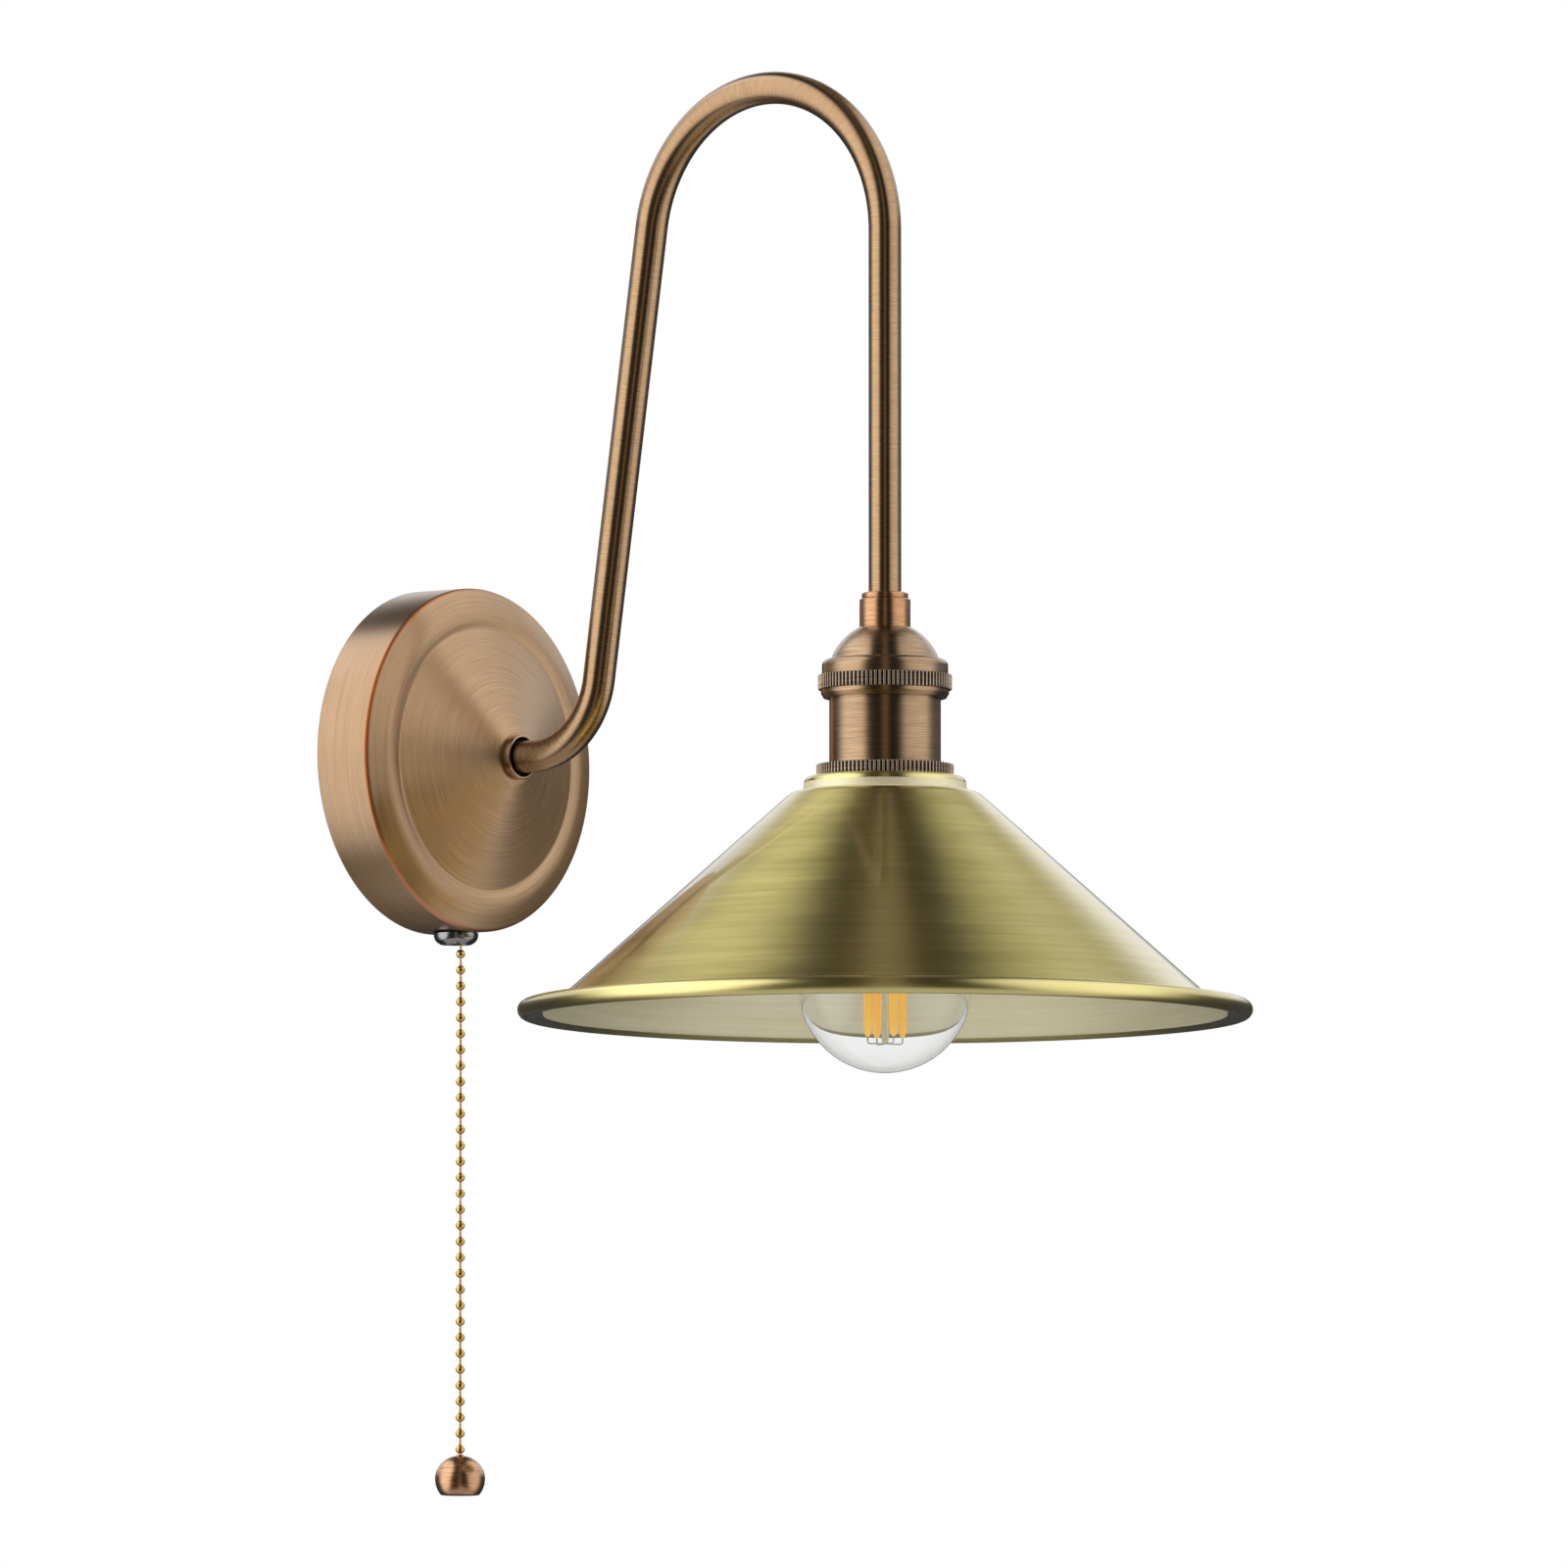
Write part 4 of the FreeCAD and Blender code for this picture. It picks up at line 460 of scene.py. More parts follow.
def makeGlass(name, tint, rough=0.0):
    material, tree, shader = newMaterial(name)
    spots = addNode(tree, "ShaderNodeGroup", node_tree=mottle)
    tree.links.new(surfaceVector(tree, False), spots.inputs["Vector"])
    spots.inputs["Size"].default_value = 120.0
    high = linear(*tint)
    low = tuple(c * 0.985 for c in high)
    tree.links.new(rampNode(tree, spots.outputs["Haze"], [(0.3, low), (0.7, high)]), shader.inputs["Base Color"])
    shader.inputs["Transmission Weight"].default_value = 1.0
    shader.inputs["Roughness"].default_value = rough
    shader.inputs["IOR"].default_value = 1.48
    return material


bulbClear = makeGlass("bulbClear", (252, 253, 253))
stemClear = makeGlass("stemClear", (240, 244, 242))
print("finishes made")


# backplate: a spun cup whose face rises to a cone

cup = {"radius": 45.2, "sideDepth": 17.0, "crest": 38.0, "crestDepth": 19.9, "groove": 34.6,
       "grooveDepth": 19.2, "apex": 30.0, "apexRadius": 6.8, "wall": 1.2, "bore": 4.35, "off": 0.02,
       "insideStep": 0.3}
cupInside = cup["radius"] - cup["wall"]
spinPiece("backplateCup", [
    (cupInside, cup["off"]), (cup["radius"] - 0.15, cup["off"], 0.1), (cup["radius"], 0.3, 0.15),
    (cup["radius"], cup["sideDepth"], 1.4), (cup["crest"], cup["crestDepth"], 9.0),
    (cup["groove"], cup["grooveDepth"], 2.0), (cup["apexRadius"], cup["apex"], 4.0),
    (cup["bore"], cup["apex"]), (cup["bore"], cup["apex"] - cup["wall"]),
    (cup["apexRadius"] - cup["insideStep"], cup["apex"] - cup["wall"]),
    (cup["groove"] - cup["insideStep"], cup["grooveDepth"] - cup["wall"]),
    (cup["crest"], cup["crestDepth"] - cup["wall"]), (cupInside, cup["sideDepth"] - cup["wall"])],
    "fixture", "plate_bronze", plateBronze, segments=256, wallAxis=True, replaces=("backplate",))

tab = {"root": -44.3, "tip": -40.55, "half": 5.0, "near": 0.6, "far": 1.8, "edge": 0.2}
tabVerts = [(x * mm, -depth * mm, z * mm) for x in (tab["root"], tab["tip"])
            for depth in (tab["near"], tab["far"]) for z in (-tab["half"], tab["half"])]
tabFaces = [(0, 1, 3, 2), (4, 6, 7, 5), (0, 4, 5, 1), (2, 3, 7, 6), (0, 2, 6, 4), (1, 5, 7, 3)]
hookTab = meshObject("hookTab", tabVerts, tabFaces)
for polygon in hookTab.data.polygons:
    polygon.use_smooth = False
bevel = hookTab.modifiers.new("edge", "BEVEL")
bevel.width = tab["edge"] * mm
bevel.segments = 2
finishPiece(hookTab, "fixture", plateBronze)

# arm: its collar, then one bent tube

collar = {"bore": 4.36, "foot": 30.01, "footRadius": 5.75, "radius": 5.9, "shoulder": 30.2, "top": 32.4,
          "lip": 5.25, "throat": 31.0}
spinPiece("armCollar", [
    (collar["bore"], collar["foot"]), (collar["footRadius"], collar["foot"]),
    (collar["radius"], collar["shoulder"], 0.1), (collar["radius"], collar["top"], 0.45),
    (collar["lip"], collar["top"], 0.1), (collar["bore"], collar["throat"])],
    "fixture", "arm_bronze", collarBronze, segments=96, wallAxis=True, replaces=("arm_collar",))

armSize = {"radius": 4.225, "bore": 3.25, "start": 19.0, "end": 29.0, "lean": 8.7, "lowBend": 22.5,
           "stub": 36.13, "archHeight": 130.6, "sides": 56}


def armRoute(size):
    # centre line of the tube, in metres, in the plane x = 0
    lean = math.radians(size["lean"])
    run = reach - size["stub"] - size["lowBend"] * math.tan(math.radians(45 - size["lean"] / 2))
    arch = (run * math.cos(lean) - size["archHeight"] * math.sin(lean)) / (1 + math.cos(lean))
    points = [(size["start"] + (size["stub"] - size["start"]) * k / 4, 0) for k in range(4)]
    points += [(size["stub"] + size["lowBend"] * math.sin(a), size["lowBend"] * (1 - math.cos(a)))
               for a in [(math.pi / 2 - lean) * k / 40 for k in range(41)]]
    legTop = (reach - arch - arch * math.cos(lean), size["archHeight"] + arch * math.sin(lean))
    foot = points[-1]
    points += [(foot[0] + (legTop[0] - foot[0]) * k / 20, foot[1] + (legTop[1] - foot[1]) * k / 20)
               for k in range(1, 20)]
    points += [(reach - arch - arch * math.cos(a), size["archHeight"] + arch * math.sin(a))
               for a in [lean + (math.pi - lean) * k / 90 for k in range(91)]]
    last = points[-1][1]
    points += [(reach, last + (size["end"] - last) * k / 20) for k in range(1, 21)]
    return [Vector((0, -depth * mm, z * mm)) for depth, z in points]


route = armRoute(armSize)
sides = armSize["sides"]
outerVerts, outerFaces = tubeMesh(route, armSize["radius"] * mm, sides, caps=False)
innerVerts, innerFaces = tubeMesh(route, armSize["bore"] * mm, sides, caps=False)
innerFaces = [tuple(reversed(face)) for face in innerFaces]
tubeVerts, tubeFaces = joinMeshes([(outerVerts, outerFaces), (innerVerts, innerFaces)])
half = len(outerVerts)
for start in (0, half - sides):
    for k in range(sides):
        n = (k + 1) % sides
        tubeFaces.append((start + k, half + start + k, half + start + n, start + n))
arm = meshObject("armTube", tubeVerts, tubeFaces)
fixNormals(arm)
runLength = [0.0]
for near, far in zip(route, route[1:]):
    runLength.append(runLength[-1] + (far - near).length)
chart = arm.data.uv_layers.new(name="run")
for polygon in arm.data.polygons:
    around = [arm.data.loops[i].vertex_index % sides for i in polygon.loop_indices]
    wraps = 0 in around and sides - 1 in around
    for i, step in zip(polygon.loop_indices, around):
        turns = 1.0 if wraps and step == 0 else step / sides
        chart.data[i].uv = (turns, runLength[(arm.data.loops[i].vertex_index % half) // sides])
finishPiece(arm, "fixture", armBronze, ("arm_tube",))
print("backplate and arm made")


# lamp holder

def knurlWobble(count, depth, low, high, base):
    # straight notches between two heights, on radii beyond base
    def change(index, segments, radius, height):
        if radius <= base or not low - 0.01 <= height <= high + 0.01:
            return radius
        phase = (index * count / segments) % 1.0
        notch = max(0.0, 1 - abs(phase - 0.5) / 0.31)
        return radius - depth * notch
    return change


holder = {"bore": 4.35, "off": 0.02, "ringRadius": 6.02, "ringTop": 36.2, "ringLip": 4.9, "ferruleRadius": 6.6,
          "ferruleTop": 34.6, "ferruleFoot": 27.0}
ringFoot, ringSeat = holder["ferruleTop"] + holder["off"], holder["ringTop"] - 0.5
spinPiece("ferruleRing", [
    (holder["bore"], ringFoot), (holder["ringRadius"] - 0.1, ringFoot),
    (holder["ringRadius"], holder["ferruleTop"] + 0.15), (holder["ringRadius"], holder["ringTop"], 0.5),
    (holder["ringLip"] + 0.3, holder["ringTop"], 0.2), (holder["ringLip"], ringSeat), (holder["bore"], ringSeat)],
    "fixture", "holder_bronze", ferruleBronze, origin=holderAxis, segments=96, replaces=("ferrule_ring",))
ferruleBase = holder["ferruleFoot"] + holder["off"]
spinPiece("ferrule", [
    (holder["bore"], ferruleBase), (holder["ferruleRadius"], ferruleBase),
    (holder["ferruleRadius"], holder["ferruleTop"], 0.45), (holder["bore"], holder["ferruleTop"])],
    "fixture", "holder_bronze", ferruleBronze, origin=holderAxis, segments=96, replaces=("ferrule",))

dome = {"radius": 14.8, "centre": 14.0, "neck": 6.85, "foot": 17.4, "base": 16.2, "edge": 15.2, "wall": 0.8,
        "ceiling": 26.2, "innerFrom": 9.0, "innerTo": 60.5}
domeTop = math.degrees(math.acos(dome["neck"] / dome["radius"]))
domeLow = math.degrees(math.asin((dome["foot"] - dome["centre"]) / dome["radius"]))
spinPiece("holderDome",
          [(holder["bore"], dome["ceiling"]), (holder["bore"], holder["ferruleFoot"])]
          + arcRun(0, dome["centre"], dome["radius"], domeTop, domeLow, 30)
          + [(dome["edge"], dome["foot"]), (dome["edge"], dome["base"])]
          + arcRun(0, dome["centre"], dome["radius"] - dome["wall"], dome["innerFrom"], dome["innerTo"], 20),
          "fixture", "holder_bronze", holderBronze, origin=holderAxis, segments=160, replaces=("holder_dome",))

clamp = {"mouth": 14.55, "ledge": 17.42, "inside": 15.35, "throat": 14.6, "foot": 8.75, "footRadius": 15.9,
         "flange": 16.6, "flangeFoot": 9.9, "knurlLow": 10.9, "knurlHigh": 14.75, "knurlEdge": 17.2,
         "knurlRadius": 17.35, "neck": 16.35, "top": 18.9, "teeth": 92, "toothDepth": 0.75, "knurlFrom": 16.55}
spinPiece("holderCapRing", [
    (clamp["mouth"], clamp["ledge"]), (clamp["inside"], clamp["ledge"]), (clamp["inside"], clamp["flangeFoot"]),
    (clamp["throat"], clamp["flangeFoot"]), (clamp["throat"], clamp["foot"]),
    (clamp["footRadius"], clamp["foot"], 0.12), (clamp["flange"], clamp["flangeFoot"], 0.2),
    (clamp["flange"], clamp["knurlLow"]), (clamp["knurlEdge"], clamp["knurlLow"]),
    (clamp["knurlRadius"], 11.05), (clamp["knurlRadius"], 14.6), (clamp["knurlEdge"], clamp["knurlHigh"]),
    (clamp["neck"], clamp["knurlHigh"]), (clamp["neck"], clamp["top"], 1.7), (clamp["mouth"], clamp["top"])],
    "fixture", "holder_bronze", holderBronze, origin=holderAxis, segments=clamp["teeth"] * 10,
    wobble=knurlWobble(clamp["teeth"], clamp["toothDepth"], clamp["knurlLow"], clamp["knurlHigh"], 16.7),
    replaces=("holder_cap_ring",))
capRing = bpy.data.objects["holderCapRing"]
capRing.data.materials.append(capKnurl)
for polygon in capRing.data.polygons:
    centre = polygon.center
    outside = math.hypot(centre.x, centre.y) > clamp["knurlFrom"] * mm
    if outside and clamp["knurlLow"] * mm < centre.z < clamp["knurlHigh"] * mm:
        polygon.material_index = 1

barrel = {"bore": 13.3, "foot": -33.5, "mouth": 13.85, "thread": 14.0, "threadFoot": -33.2, "shoulder": -8.5,
          "radius": 14.45, "flange": 15.2, "flangeFoot": 9.75, "top": 15.0}
spinPiece("holderBarrel", [
    (barrel["bore"], barrel["foot"]), (barrel["mouth"], barrel["foot"], 0.1),
    (barrel["thread"], barrel["threadFoot"]), (barrel["thread"], barrel["shoulder"]),
    (barrel["radius"], barrel["shoulder"]), (barrel["radius"], barrel["flangeFoot"]),
    (barrel["flange"], barrel["flangeFoot"]), (barrel["flange"], barrel["top"]), (barrel["bore"], barrel["top"])],
    "fixture", "holder_bronze", holderBronze, origin=holderAxis, segments=160, replaces=("holder_barrel",))

stop = {"bore": 14.05, "radius": 17.8, "edge": 17.65, "foot": -11.48, "low": -11.35, "high": -8.65,
        "top": -8.5, "teeth": 94, "toothDepth": 0.75, "knurlLow": -11.5, "knurlBase": 17.0}
spinPiece("shadeStopRing", [
    (stop["bore"], stop["foot"]), (stop["edge"], stop["foot"]), (stop["radius"], stop["low"]),
    (stop["radius"], stop["high"]), (stop["edge"], stop["top"]), (stop["bore"], stop["top"])],
    "fixture", "holder_bronze", stopKnurl, origin=holderAxis, segments=stop["teeth"] * 10,
    wobble=knurlWobble(stop["teeth"], stop["toothDepth"], stop["knurlLow"], stop["top"], stop["knurlBase"]),
    replaces=("shade_stop_ring",))
print("lamp holder made")

# shade: a stepped crown, a cone and a rolled rim, with the notched ring that holds it

cone = {"hole": 14.3, "top": -11.5, "crown": 20.8, "flare": 21.25, "foot": -15.4, "slope": 1.1217,
        "tip": 5.88, "wall": 0.8, "rimRadius": 92.8, "rimHeight": -72.1, "rimSection": 2.3, "leadIn": 12,
        "rollStart": -102, "rollEnd": 200, "insideEdge": 90.3}
drop = cone["wall"] * math.sqrt(cone["slope"] ** 2 + 1) / cone["slope"]


def coneAt(height, lower=0.0):
    return cone["slope"] * (cone["tip"] - lower - height)


def leadCross(section, lower):
    # where the cone meets the line that leads into the rolled rim
    lead = math.radians(cone["leadIn"])
    rise = math.tan(lead)
    base = cone["rimHeight"] - section / math.cos(lead) + cone["rimRadius"] * rise
    height = (base - rise * cone["slope"] * (cone["tip"] - lower)) / (1 - rise * cone["slope"])
    return coneAt(height, lower), height


lowCross, highCross = leadCross(cone["rimSection"], drop), leadCross(cone["rimSection"] - cone["wall"], 0)
underTop, underFoot = cone["top"] - cone["wall"], cone["foot"] - cone["wall"]
shadeCorners = [
    (cone["hole"], underTop), (cone["crown"] - cone["wall"], underTop, 1.2),
    (cone["flare"] - cone["wall"], cone["foot"] - 0.48), (coneAt(underFoot, drop), underFoot, 4.2),
    (lowCross[0], lowCross[1], 8.8)]
shadeCorners += arcRun(cone["rimRadius"], cone["rimHeight"], cone["rimSection"],
                       cone["rollStart"], cone["rollEnd"], 44)
shadeCorners += arcRun(cone["rimRadius"], cone["rimHeight"], cone["rimSection"] - cone["wall"],
                       cone["rollEnd"], cone["rollStart"], 30)
shadeCorners += [(highCross[0], highCross[1], 8.0), (coneAt(cone["foot"]), cone["foot"], 5.0),
                 (cone["flare"], cone["foot"], 0.6), (cone["crown"], cone["top"], 2.0),
                 (cone["hole"], cone["top"])]
shade = spinPiece("shade", shadeCorners, "shade_body", "shade_brass", shadeBrass, origin=holderAxis,
                  segments=320, replaces=("shade",))
shade.data.materials.append(shadeInside)
halfWall = cone["wall"] / 2
for polygon in shade.data.polygons:
    centre = polygon.center
    radius = math.hypot(centre.x, centre.y) / mm
    height = centre.z / mm
    underCone = radius < coneAt(height) - halfWall * cone["slope"] and radius < cone["insideEdge"]
    if underCone and height < cone["top"] - halfWall:
        polygon.material_index = 1

ringNut = {"bore": 14.3, "radius": 17.4, "edge": 17.2, "foot": -15.7, "low": -15.5, "high": -12.5,
           "top": -12.32, "notchDepth": 1.4, "notchBase": 16.5, "steps": 240, "notchEvery": 40, "notchWide": 7}


def ringNotches(index, segments, radius, height):
    inNotch = (index + ringNut["notchWide"] // 2) % ringNut["notchEvery"] < ringNut["notchWide"]
    return radius - ringNut["notchDepth"] if radius > ringNut["notchBase"] and inNotch else radius


spinPiece("retainingRing", [
    (ringNut["bore"], ringNut["foot"]), (ringNut["edge"], ringNut["foot"], 0.15),
    (ringNut["radius"], ringNut["low"]), (ringNut["radius"], ringNut["high"]),
    (ringNut["edge"], ringNut["top"]), (ringNut["bore"], ringNut["top"])],
    "retaining_ring", "holder_bronze", holderBronze, origin=holderAxis, segments=ringNut["steps"],
    wobble=ringNotches, replaces=("shade_retaining_ring",))
print("shade made")

# bulb: glass, screw cap, stem, four rods and their wires

bulb = {"globe": 22.5, "globeHeight": -65.9, "neck": 6.3, "neckHeight": -31.0, "top": -22.0, "wall": 0.6}


def glassRun(shrink):
    neck, globe = bulb["neck"] - shrink, bulb["globe"] - shrink
    fall = bulb["neckHeight"] - bulb["globeHeight"]
    curve = (neck ** 2 + fall ** 2 - globe ** 2) / (2 * (globe - neck))
    meet = math.degrees(math.atan2(fall, neck + curve))
    run = arcRun(0, bulb["globeHeight"], globe, -90, meet, 60)
    run[0] = (0.0, run[0][1])
    run += arcRun(neck + curve, bulb["neckHeight"], curve, 180 + meet, 180, 22)[1:]
    run.append((neck, bulb["top"]))
    return run


glass = glassRun(0.0) + list(reversed(glassRun(bulb["wall"])))
spinPiece("bulbGlass", glass, "bulb_body", "bulb_clear", bulbClear, origin=holderAxis, segments=144,
          closed=False, replaces=("bulb_glass",), creaseAngle=0.7)

screwCap = {"foot": -29.4, "root": 6.62, "crest": 6.95, "firstCrest": -28.0, "pitch": 2.822, "turns": 5,
            "shoulder": -14.7, "inside": 6.25}
capRun = [(6.55, screwCap["foot"]), (screwCap["crest"], screwCap["foot"], 0.1)]
for turn in range(screwCap["turns"]):
    crest = screwCap["firstCrest"] + turn * screwCap["pitch"]
    capRun += [(screwCap["root"], crest - 1.0), (screwCap["crest"], crest - 0.35),
               (screwCap["crest"], crest + 0.1), (screwCap["root"], crest + 0.75)]
capRun += [(screwCap["crest"], screwCap["shoulder"], 0.2), (4.6, -13.0), (4.2, -13.4), (6.3, -15.1),
           (screwCap["inside"], screwCap["foot"])]
spinPiece("bulbCap", capRun, "bulb_core", "cap_aluminium", capAluminium, origin=holderAxis, segments=96,
          replaces=("bulb_cap",), creaseAngle=1.2)

stemCorners = [(0, -81.0), (0.7, -81.0, 0.3), (1.0, -79.5), (0.85, -70.0), (1.0, -50.5), (1.7, -48.6, 1.0),
               (2.3, -46.0, 1.5), (2.4, -28.5, 2.0), (5.65, -22.0), (5.65, -21.25), (0, -21.25)]
spinPiece("bulbStem", stemCorners, "bulb_core", "bulb_clear", stemClear, origin=holderAxis, segments=64,
          closed=False, replaces=("bulb_stem",), creaseAngle=0.9)

rod = {"ring": 5.0, "bearing": -25.0, "count": 4, "wire": 0.2,
       "outline": [(0, -79.25), (0.25, -79.2), (0.7, -78.6), (1.0, -77.6), (1.05, -76.6), (1.05, -54.6),
                   (1.0, -53.6), (0.7, -52.7), (0.25, -52.1), (0, -52.05)],
       "levels": ((-80.9, 0.9, -79.2), (-50.4, 1.0, -52.1))}
rodParts, wireParts = [], []
for index in range(rod["count"]):
    turn = math.radians(rod["bearing"] + index * 360 / rod["count"])
    out = Vector((math.cos(turn), math.sin(turn), 0))
    ring = out * rod["ring"] * mm
    rodVerts, rodFaces, _ = spinMesh(rod["outline"], 20, closed=False)
    rodParts.append(([Vector(v) + ring for v in rodVerts], rodFaces))
    for level, inner, end in rod["levels"]:
        corner = ring + Vector((0, 0, level * mm))
        bend = [out * inner * mm + Vector((0, 0, level * mm)), corner - out * 0.6 * mm,
                corner - out * 0.18 * mm + Vector((0, 0, math.copysign(0.15, end - level) * mm)),
                corner + Vector((0, 0, math.copysign(0.6, end - level) * mm)), ring + Vector((0, 0, end * mm))]
        wireParts.append(tubeMesh(bend, rod["wire"] * mm, 10))
rods = meshObject("filamentRods", *joinMeshes(rodParts), origin=holderAxis)
fixNormals(rods)
finishPiece(rods, "bulb_core", filamentYellow, ("bulb_filaments",))
wires = meshObject("filamentWires", *joinMeshes(wireParts), origin=holderAxis)
fixNormals(wires)
finishPiece(wires, "bulb_core", wireSteel, ("filament_frame",))
print("bulb made")

# pull switch, chain and knob

bush = {"bore": 3.3, "foot": -48.25, "lip": 4.1, "roundHeight": -45.8, "round": 2.5, "roundIn": 0.75,
        "radius": 5.85, "edge": 5.7, "top": -45.22}
spinPiece("switchBush",
          [(bush["bore"], bush["foot"], 0.3), (bush["lip"], bush["foot"] - 0.05, 0.25)]
          + arcRun(bush["lip"] - bush["roundIn"], bush["roundHeight"], bush["round"], -72, 0, 14)[1:]
          + [(bush["radius"], -45.35), (bush["edge"], bush["top"]), (bush["bore"], bush["top"])],
          "fixture", "bush_chrome", bushChrome, origin=bushAxis, segments=72, replaces=("switch_bush",))

chain = {"bead": 1.2, "pitch": 4.2, "pivot": -50.77, "link": 0.3, "lip": 0.12}
beadEnd = [(0.0, 1.08), (0.34, 1.08), (0.42, 1.15)]


def beadParts(first, count):
    # hollow beads with a turned-in lip at each hole, counted down from the pivot bead
    parts = []
    for index in range(first, first + count):
        middle = chain["pivot"] - index * chain["pitch"]
        run = [(radius, -height) for radius, height in beadEnd]
        run += arcRun(0, 0, chain["bead"], -69, 69, 14)[1:-1] + list(reversed(beadEnd))
        verts, faces, _ = spinMesh([(radius, middle + height) for radius, height in run], 24, closed=False)
        parts.append(([Vector(v) for v in verts], faces))
    return parts


def linkPart(top, low):
    return tubeMesh([Vector((0, 0, top * mm)), Vector((0, 0, (top * 2 + low) / 3 * mm)),
                     Vector((0, 0, (top + low * 2) / 3 * mm)), Vector((0, 0, low * mm))], chain["link"] * mm, 12)


def chainPiece(name, first, count, above, below, body, node):
    parts = beadParts(first, count)
    top, low = chain["pivot"] - first * chain["pitch"], chain["pivot"] - (first + count - 1) * chain["pitch"]
    parts += [linkPart(chain["pivot"] - k * chain["pitch"] - 1.0, chain["pivot"] - (k + 1) * chain["pitch"] + 1.0)
              for k in range(first, first + count - 1)]
    if above:
        parts.append(linkPart(top + above, top + 1.0))
    if below:
        parts.append(linkPart(low - 1.0, low - below))
    item = meshObject(name, *joinMeshes(parts), origin=chainAxis)
    fixNormals(item)
    return finishPiece(item, body, chainGold, (node,))


gap = chain["pitch"] - chain["bead"] - chain["lip"]
chainPiece("chainInside", -4, 4, 3.7, gap, "slider", "slider_chain")
chainPiece("chainTopBead", 0, 1, 0, 0, "pivot_bead", "chain_top_bead")
chainPiece("chainUpper", 1, 14, gap, gap, "upper_chain", "chain_upper")
chainPiece("chainMiddleBead", 15, 1, 0, 0, "middle_bead", "chain_middle_bead")
chainPiece("chainLower", 16, 16, gap, 0, "lower_chain", "chain_lower")

knob = {"radius": 6.56, "top": -182.54, "equator": -188.74, "foot": -192.99, "squareness": 0.94,
        "shoulderEnd": 80, "shoulderSteps": 24, "neck": 0.95, "neckRise": 0.24}
footRadius = math.sqrt(knob["radius"] ** 2 - (knob["equator"] - knob["foot"]) ** 2)
lowAngle = math.degrees(math.asin((knob["foot"] - knob["equator"]) / knob["radius"]))
shoulder = []
for k in range(knob["shoulderSteps"] + 1):
    turn = math.radians(knob["shoulderEnd"] * k / knob["shoulderSteps"])
    shoulder.append((knob["radius"] * math.cos(turn) ** knob["squareness"],
                     knob["equator"] + (knob["top"] - knob["equator"]) * math.sin(turn)))
knobRun = [(0.0, knob["foot"]), (footRadius - 0.3, knob["foot"]), (footRadius, knob["foot"] + 0.05)]
knobRun += arcRun(0, knob["equator"], knob["radius"], lowAngle + 3, 0, 16)[:-1] + shoulder
knobRun += [(knob["neck"], knob["top"]), (knob["neck"] - 0.15, knob["top"] + knob["neckRise"]),
            (0.0, knob["top"] + knob["neckRise"])]
spinPiece("pullKnob", knobRun, "knob", "knob_bronze", knobBronze, origin=chainAxis, segments=96, closed=False,
          replaces=("pull_knob",))
print("switch, chain and knob made")

# finishes of the CAD sub-parts that stay

kept = {
    "wall_bracket": zincSteel, "plate_screw": zincSteel, "earth_screw": zincSteel, "earth_tag": contactBrass,
    "arm_washer": zincSteel, "arm_lock_nut": zincSteel, "terminal_block": whitePlastic, "terminal_screws": zincSteel,
    "switch_housing": blackPlastic, "switch_cover": blackPlastic, "switch_lock_nut": zincSteel,
    "pull_slider": whitePlastic, "switch_spring": zincSteel, "holder_insulator": porcelain,
    "screw_shell": contactBrass, "centre_contact": contactBrass, "holder_terminals": contactBrass,
    "bulb_insulator": vitrite, "bulb_contact": solderGrey, "arm_flex": flexSheath, "neutral_core": coreBlue,
    "live_core": coreBrown, "earth_core": coreGreen, "switch_lead": coreBrown, "holder_cores": coreBrown,
}
for node, material in kept.items():
    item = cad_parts[node]
    item.data.materials.clear()
    item.data.materials.append(material)
print("kept sub-parts finished")


# floor and room

roomLook = {
    "toward": (-0.7675, -0.6411, 0.0), "aside": (0.6411, -0.7675, 0.0), "narrowing": 0.5,
    "front": [(0.00, 2.1, 2.1, 2.1), (0.11, 1.9, 1.9, 1.9), (0.19, 0.07, 0.065, 0.06), (0.40, 0.03, 0.03, 0.03),
              (0.44, 0.12, 0.10, 0.08), (0.49, 0.42, 0.35, 0.28), (0.54, 0.30, 0.25, 0.20),
              (0.585, 0.025, 0.025, 0.025), (0.76, 0.025, 0.025, 0.025), (0.87, 1.2, 1.2, 1.2),
              (1.00, 1.5, 1.5, 1.5)],
    "behind": [(0.0, 0.05, 0.05, 0.05), (0.56, 0.05, 0.05, 0.05), (0.63, 1.0, 1.0, 1.0), (1.0, 1.0, 1.0, 1.0)],
    "frontTurn": (-0.5, 0.05), "frontRise": (0.42, 0.68), "floorGlow": (-0.70, -0.88)}
floorSize = {"left": -0.8, "right": 0.8, "front": -0.95, "back": 0.65, "height": -1.1}


def makeFloor():
    left, right, low = floorSize["left"], floorSize["right"], floorSize["height"]
    front, back = floorSize["front"], floorSize["back"]
    floor = meshObject("floor", [(left, front, low), (right, front, low), (right, back, low), (left, back, low)],
                       [(0, 1, 2, 3)])
    material, tree, shader = newMaterial("paleFloor")
    spots = addNode(tree, "ShaderNodeGroup", node_tree=mottle)
    tree.links.new(surfaceVector(tree, False), spots.inputs["Vector"])
    spots.inputs["Size"].default_value = 20.0
    tree.links.new(rampNode(tree, spots.outputs["Haze"], [(0.3, (0.80, 0.80, 0.79)), (0.7, (0.83, 0.83, 0.82))]),
                   shader.inputs["Base Color"])
    shader.inputs["Roughness"].default_value = 0.8
    floor.data.materials.append(material)


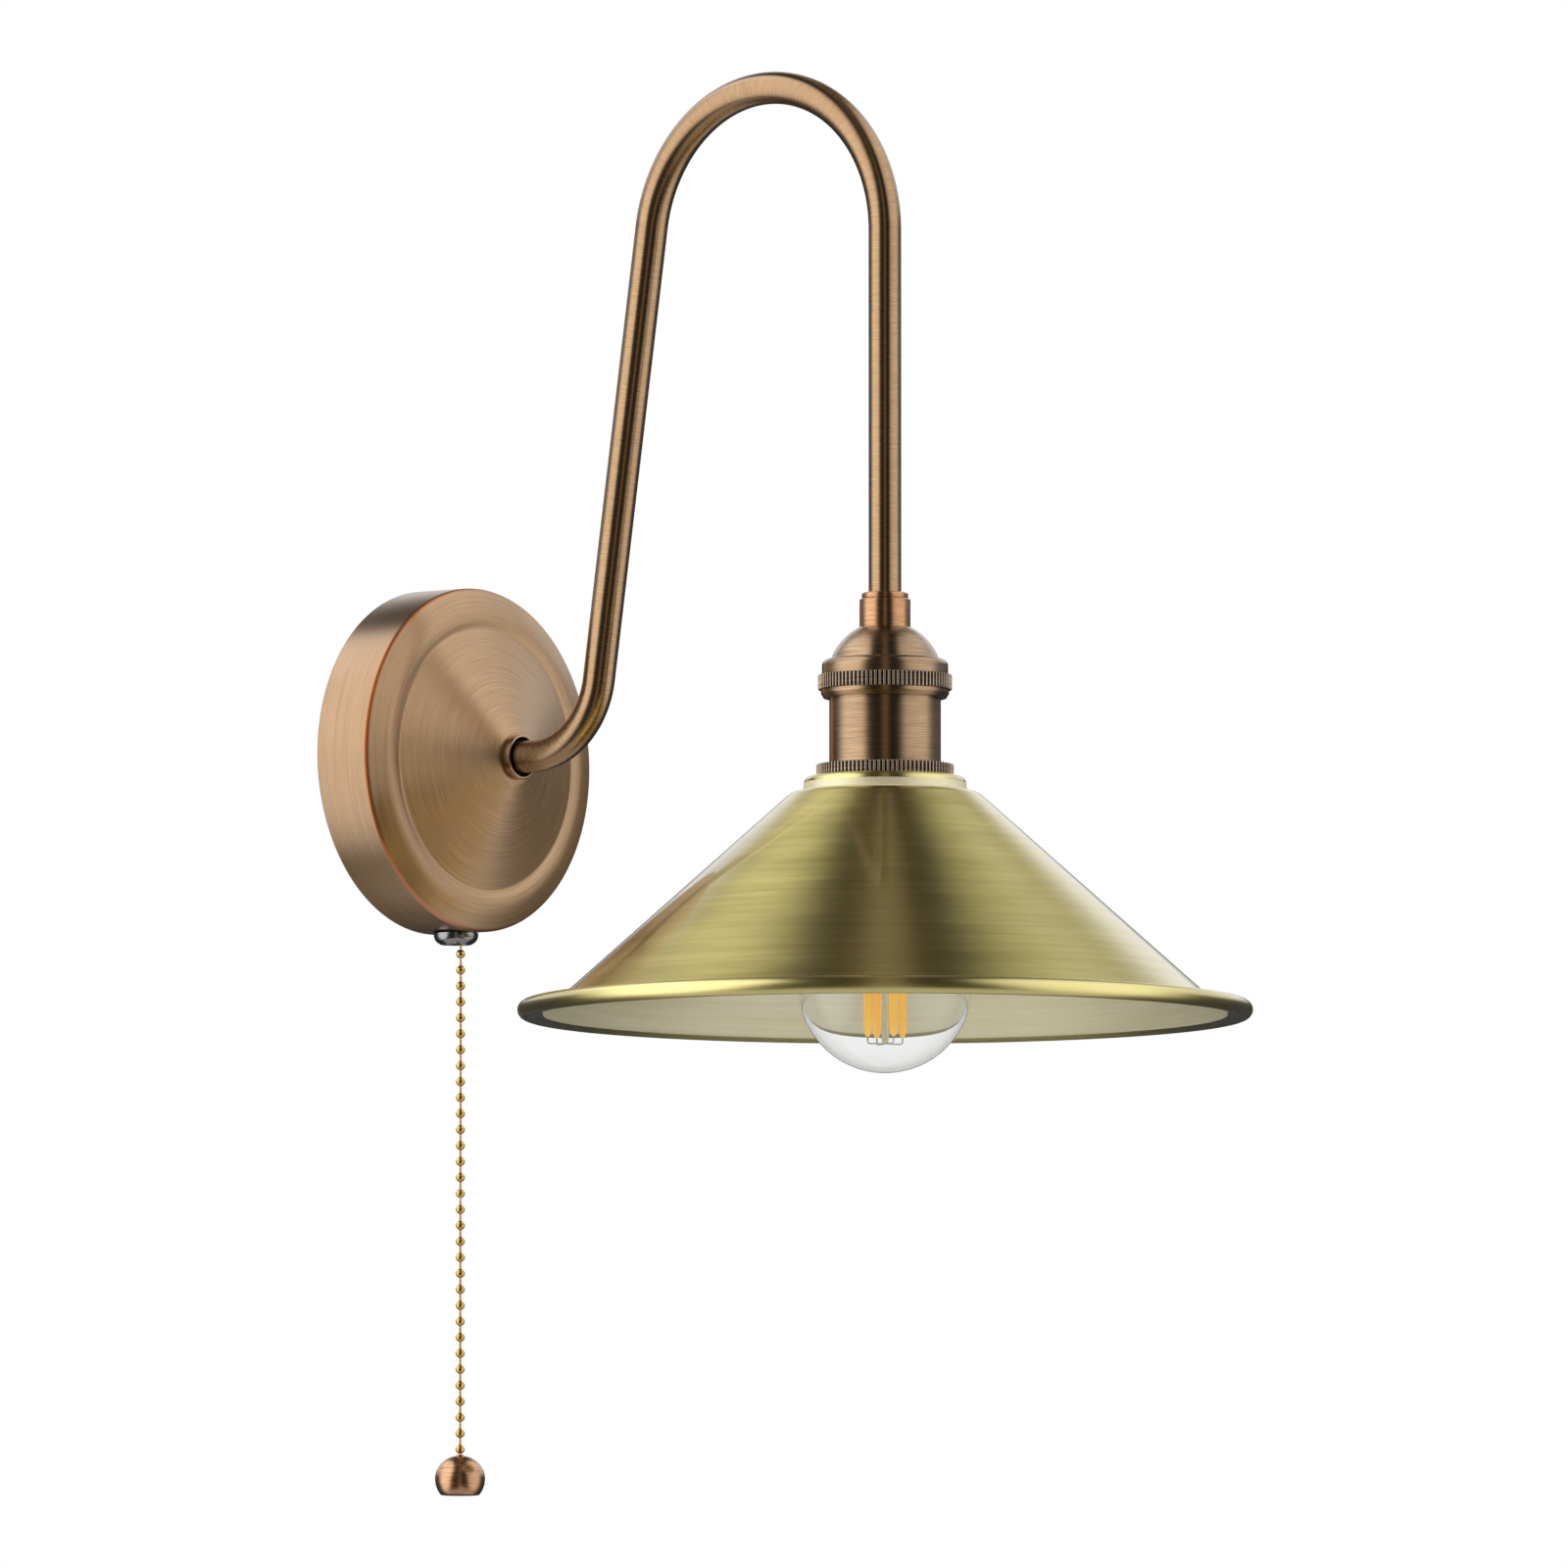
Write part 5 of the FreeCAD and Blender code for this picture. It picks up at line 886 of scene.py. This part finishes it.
def makeRoom():
    # white all round to the eye and through glass; to metal, two broad white sides, a dark studio
    # round the camera with a dim gap in its middle, and dark screens beside a white wall behind
    world = bpy.data.worlds.new("room")
    bpy.context.scene.world = world
    world.use_nodes = True
    tree = world.node_tree
    tree.nodes.clear()
    heading = addNode(tree, "ShaderNodeTexCoord").outputs["Generated"]
    toward = addNode(tree, "ShaderNodeVectorMath", {0: heading, 1: roomLook["toward"]},
                     operation="DOT_PRODUCT").outputs["Value"]
    aside = addNode(tree, "ShaderNodeVectorMath", {0: heading, 1: roomLook["aside"]},
                    operation="DOT_PRODUCT").outputs["Value"]
    rise = addNode(tree, "ShaderNodeSeparateXYZ", {0: heading}).outputs[2]
    upward = mathNode(tree, "MAXIMUM", rise, 0.0)
    narrow = mathNode(tree, "SUBTRACT", 1.0, mathNode(tree, "MULTIPLY", upward, roomLook["narrowing"]))
    spread = mathNode(tree, "DIVIDE", aside, narrow)
    place = mathNode(tree, "ADD", mathNode(tree, "MULTIPLY", spread, 0.5), 0.5, clamp=True)
    front = rampNode(tree, place, [(stop[0], stop[1:]) for stop in roomLook["front"]])
    height = mathNode(tree, "ADD", mathNode(tree, "MULTIPLY", rise, 0.5), 0.5)
    behind = rampNode(tree, height, [(stop[0], stop[1:]) for stop in roomLook["behind"]])
    frontShare = mathNode(tree, "MAXIMUM", easeNode(tree, toward, *roomLook["frontTurn"]),
                          easeNode(tree, rise, *roomLook["frontRise"]))
    wall = addNode(tree, "ShaderNodeMix", {0: frontShare, 6: behind, 7: front}, data_type="RGBA").outputs[2]
    lowGlow = easeNode(tree, rise, *roomLook["floorGlow"])
    studio = addNode(tree, "ShaderNodeMix", {0: lowGlow, 6: wall, 7: (1.0, 1.0, 1.0, 1)},
                     data_type="RGBA").outputs[2]
    rays = addNode(tree, "ShaderNodeLightPath")
    clear = mathNode(tree, "MAXIMUM", rays.outputs["Is Camera Ray"], rays.outputs["Is Transmission Ray"])
    metalView = addNode(tree, "ShaderNodeBackground", {"Color": studio, "Strength": 1.0})
    white = addNode(tree, "ShaderNodeBackground", {"Color": (1, 1, 1, 1), "Strength": 1.0})
    outer = addNode(tree, "ShaderNodeMixShader", {0: clear, 1: metalView.outputs[0], 2: white.outputs[0]})
    out = addNode(tree, "ShaderNodeOutputWorld")
    tree.links.new(outer.outputs[0], out.inputs["Surface"])


makeFloor()
makeRoom()
print("room lit")
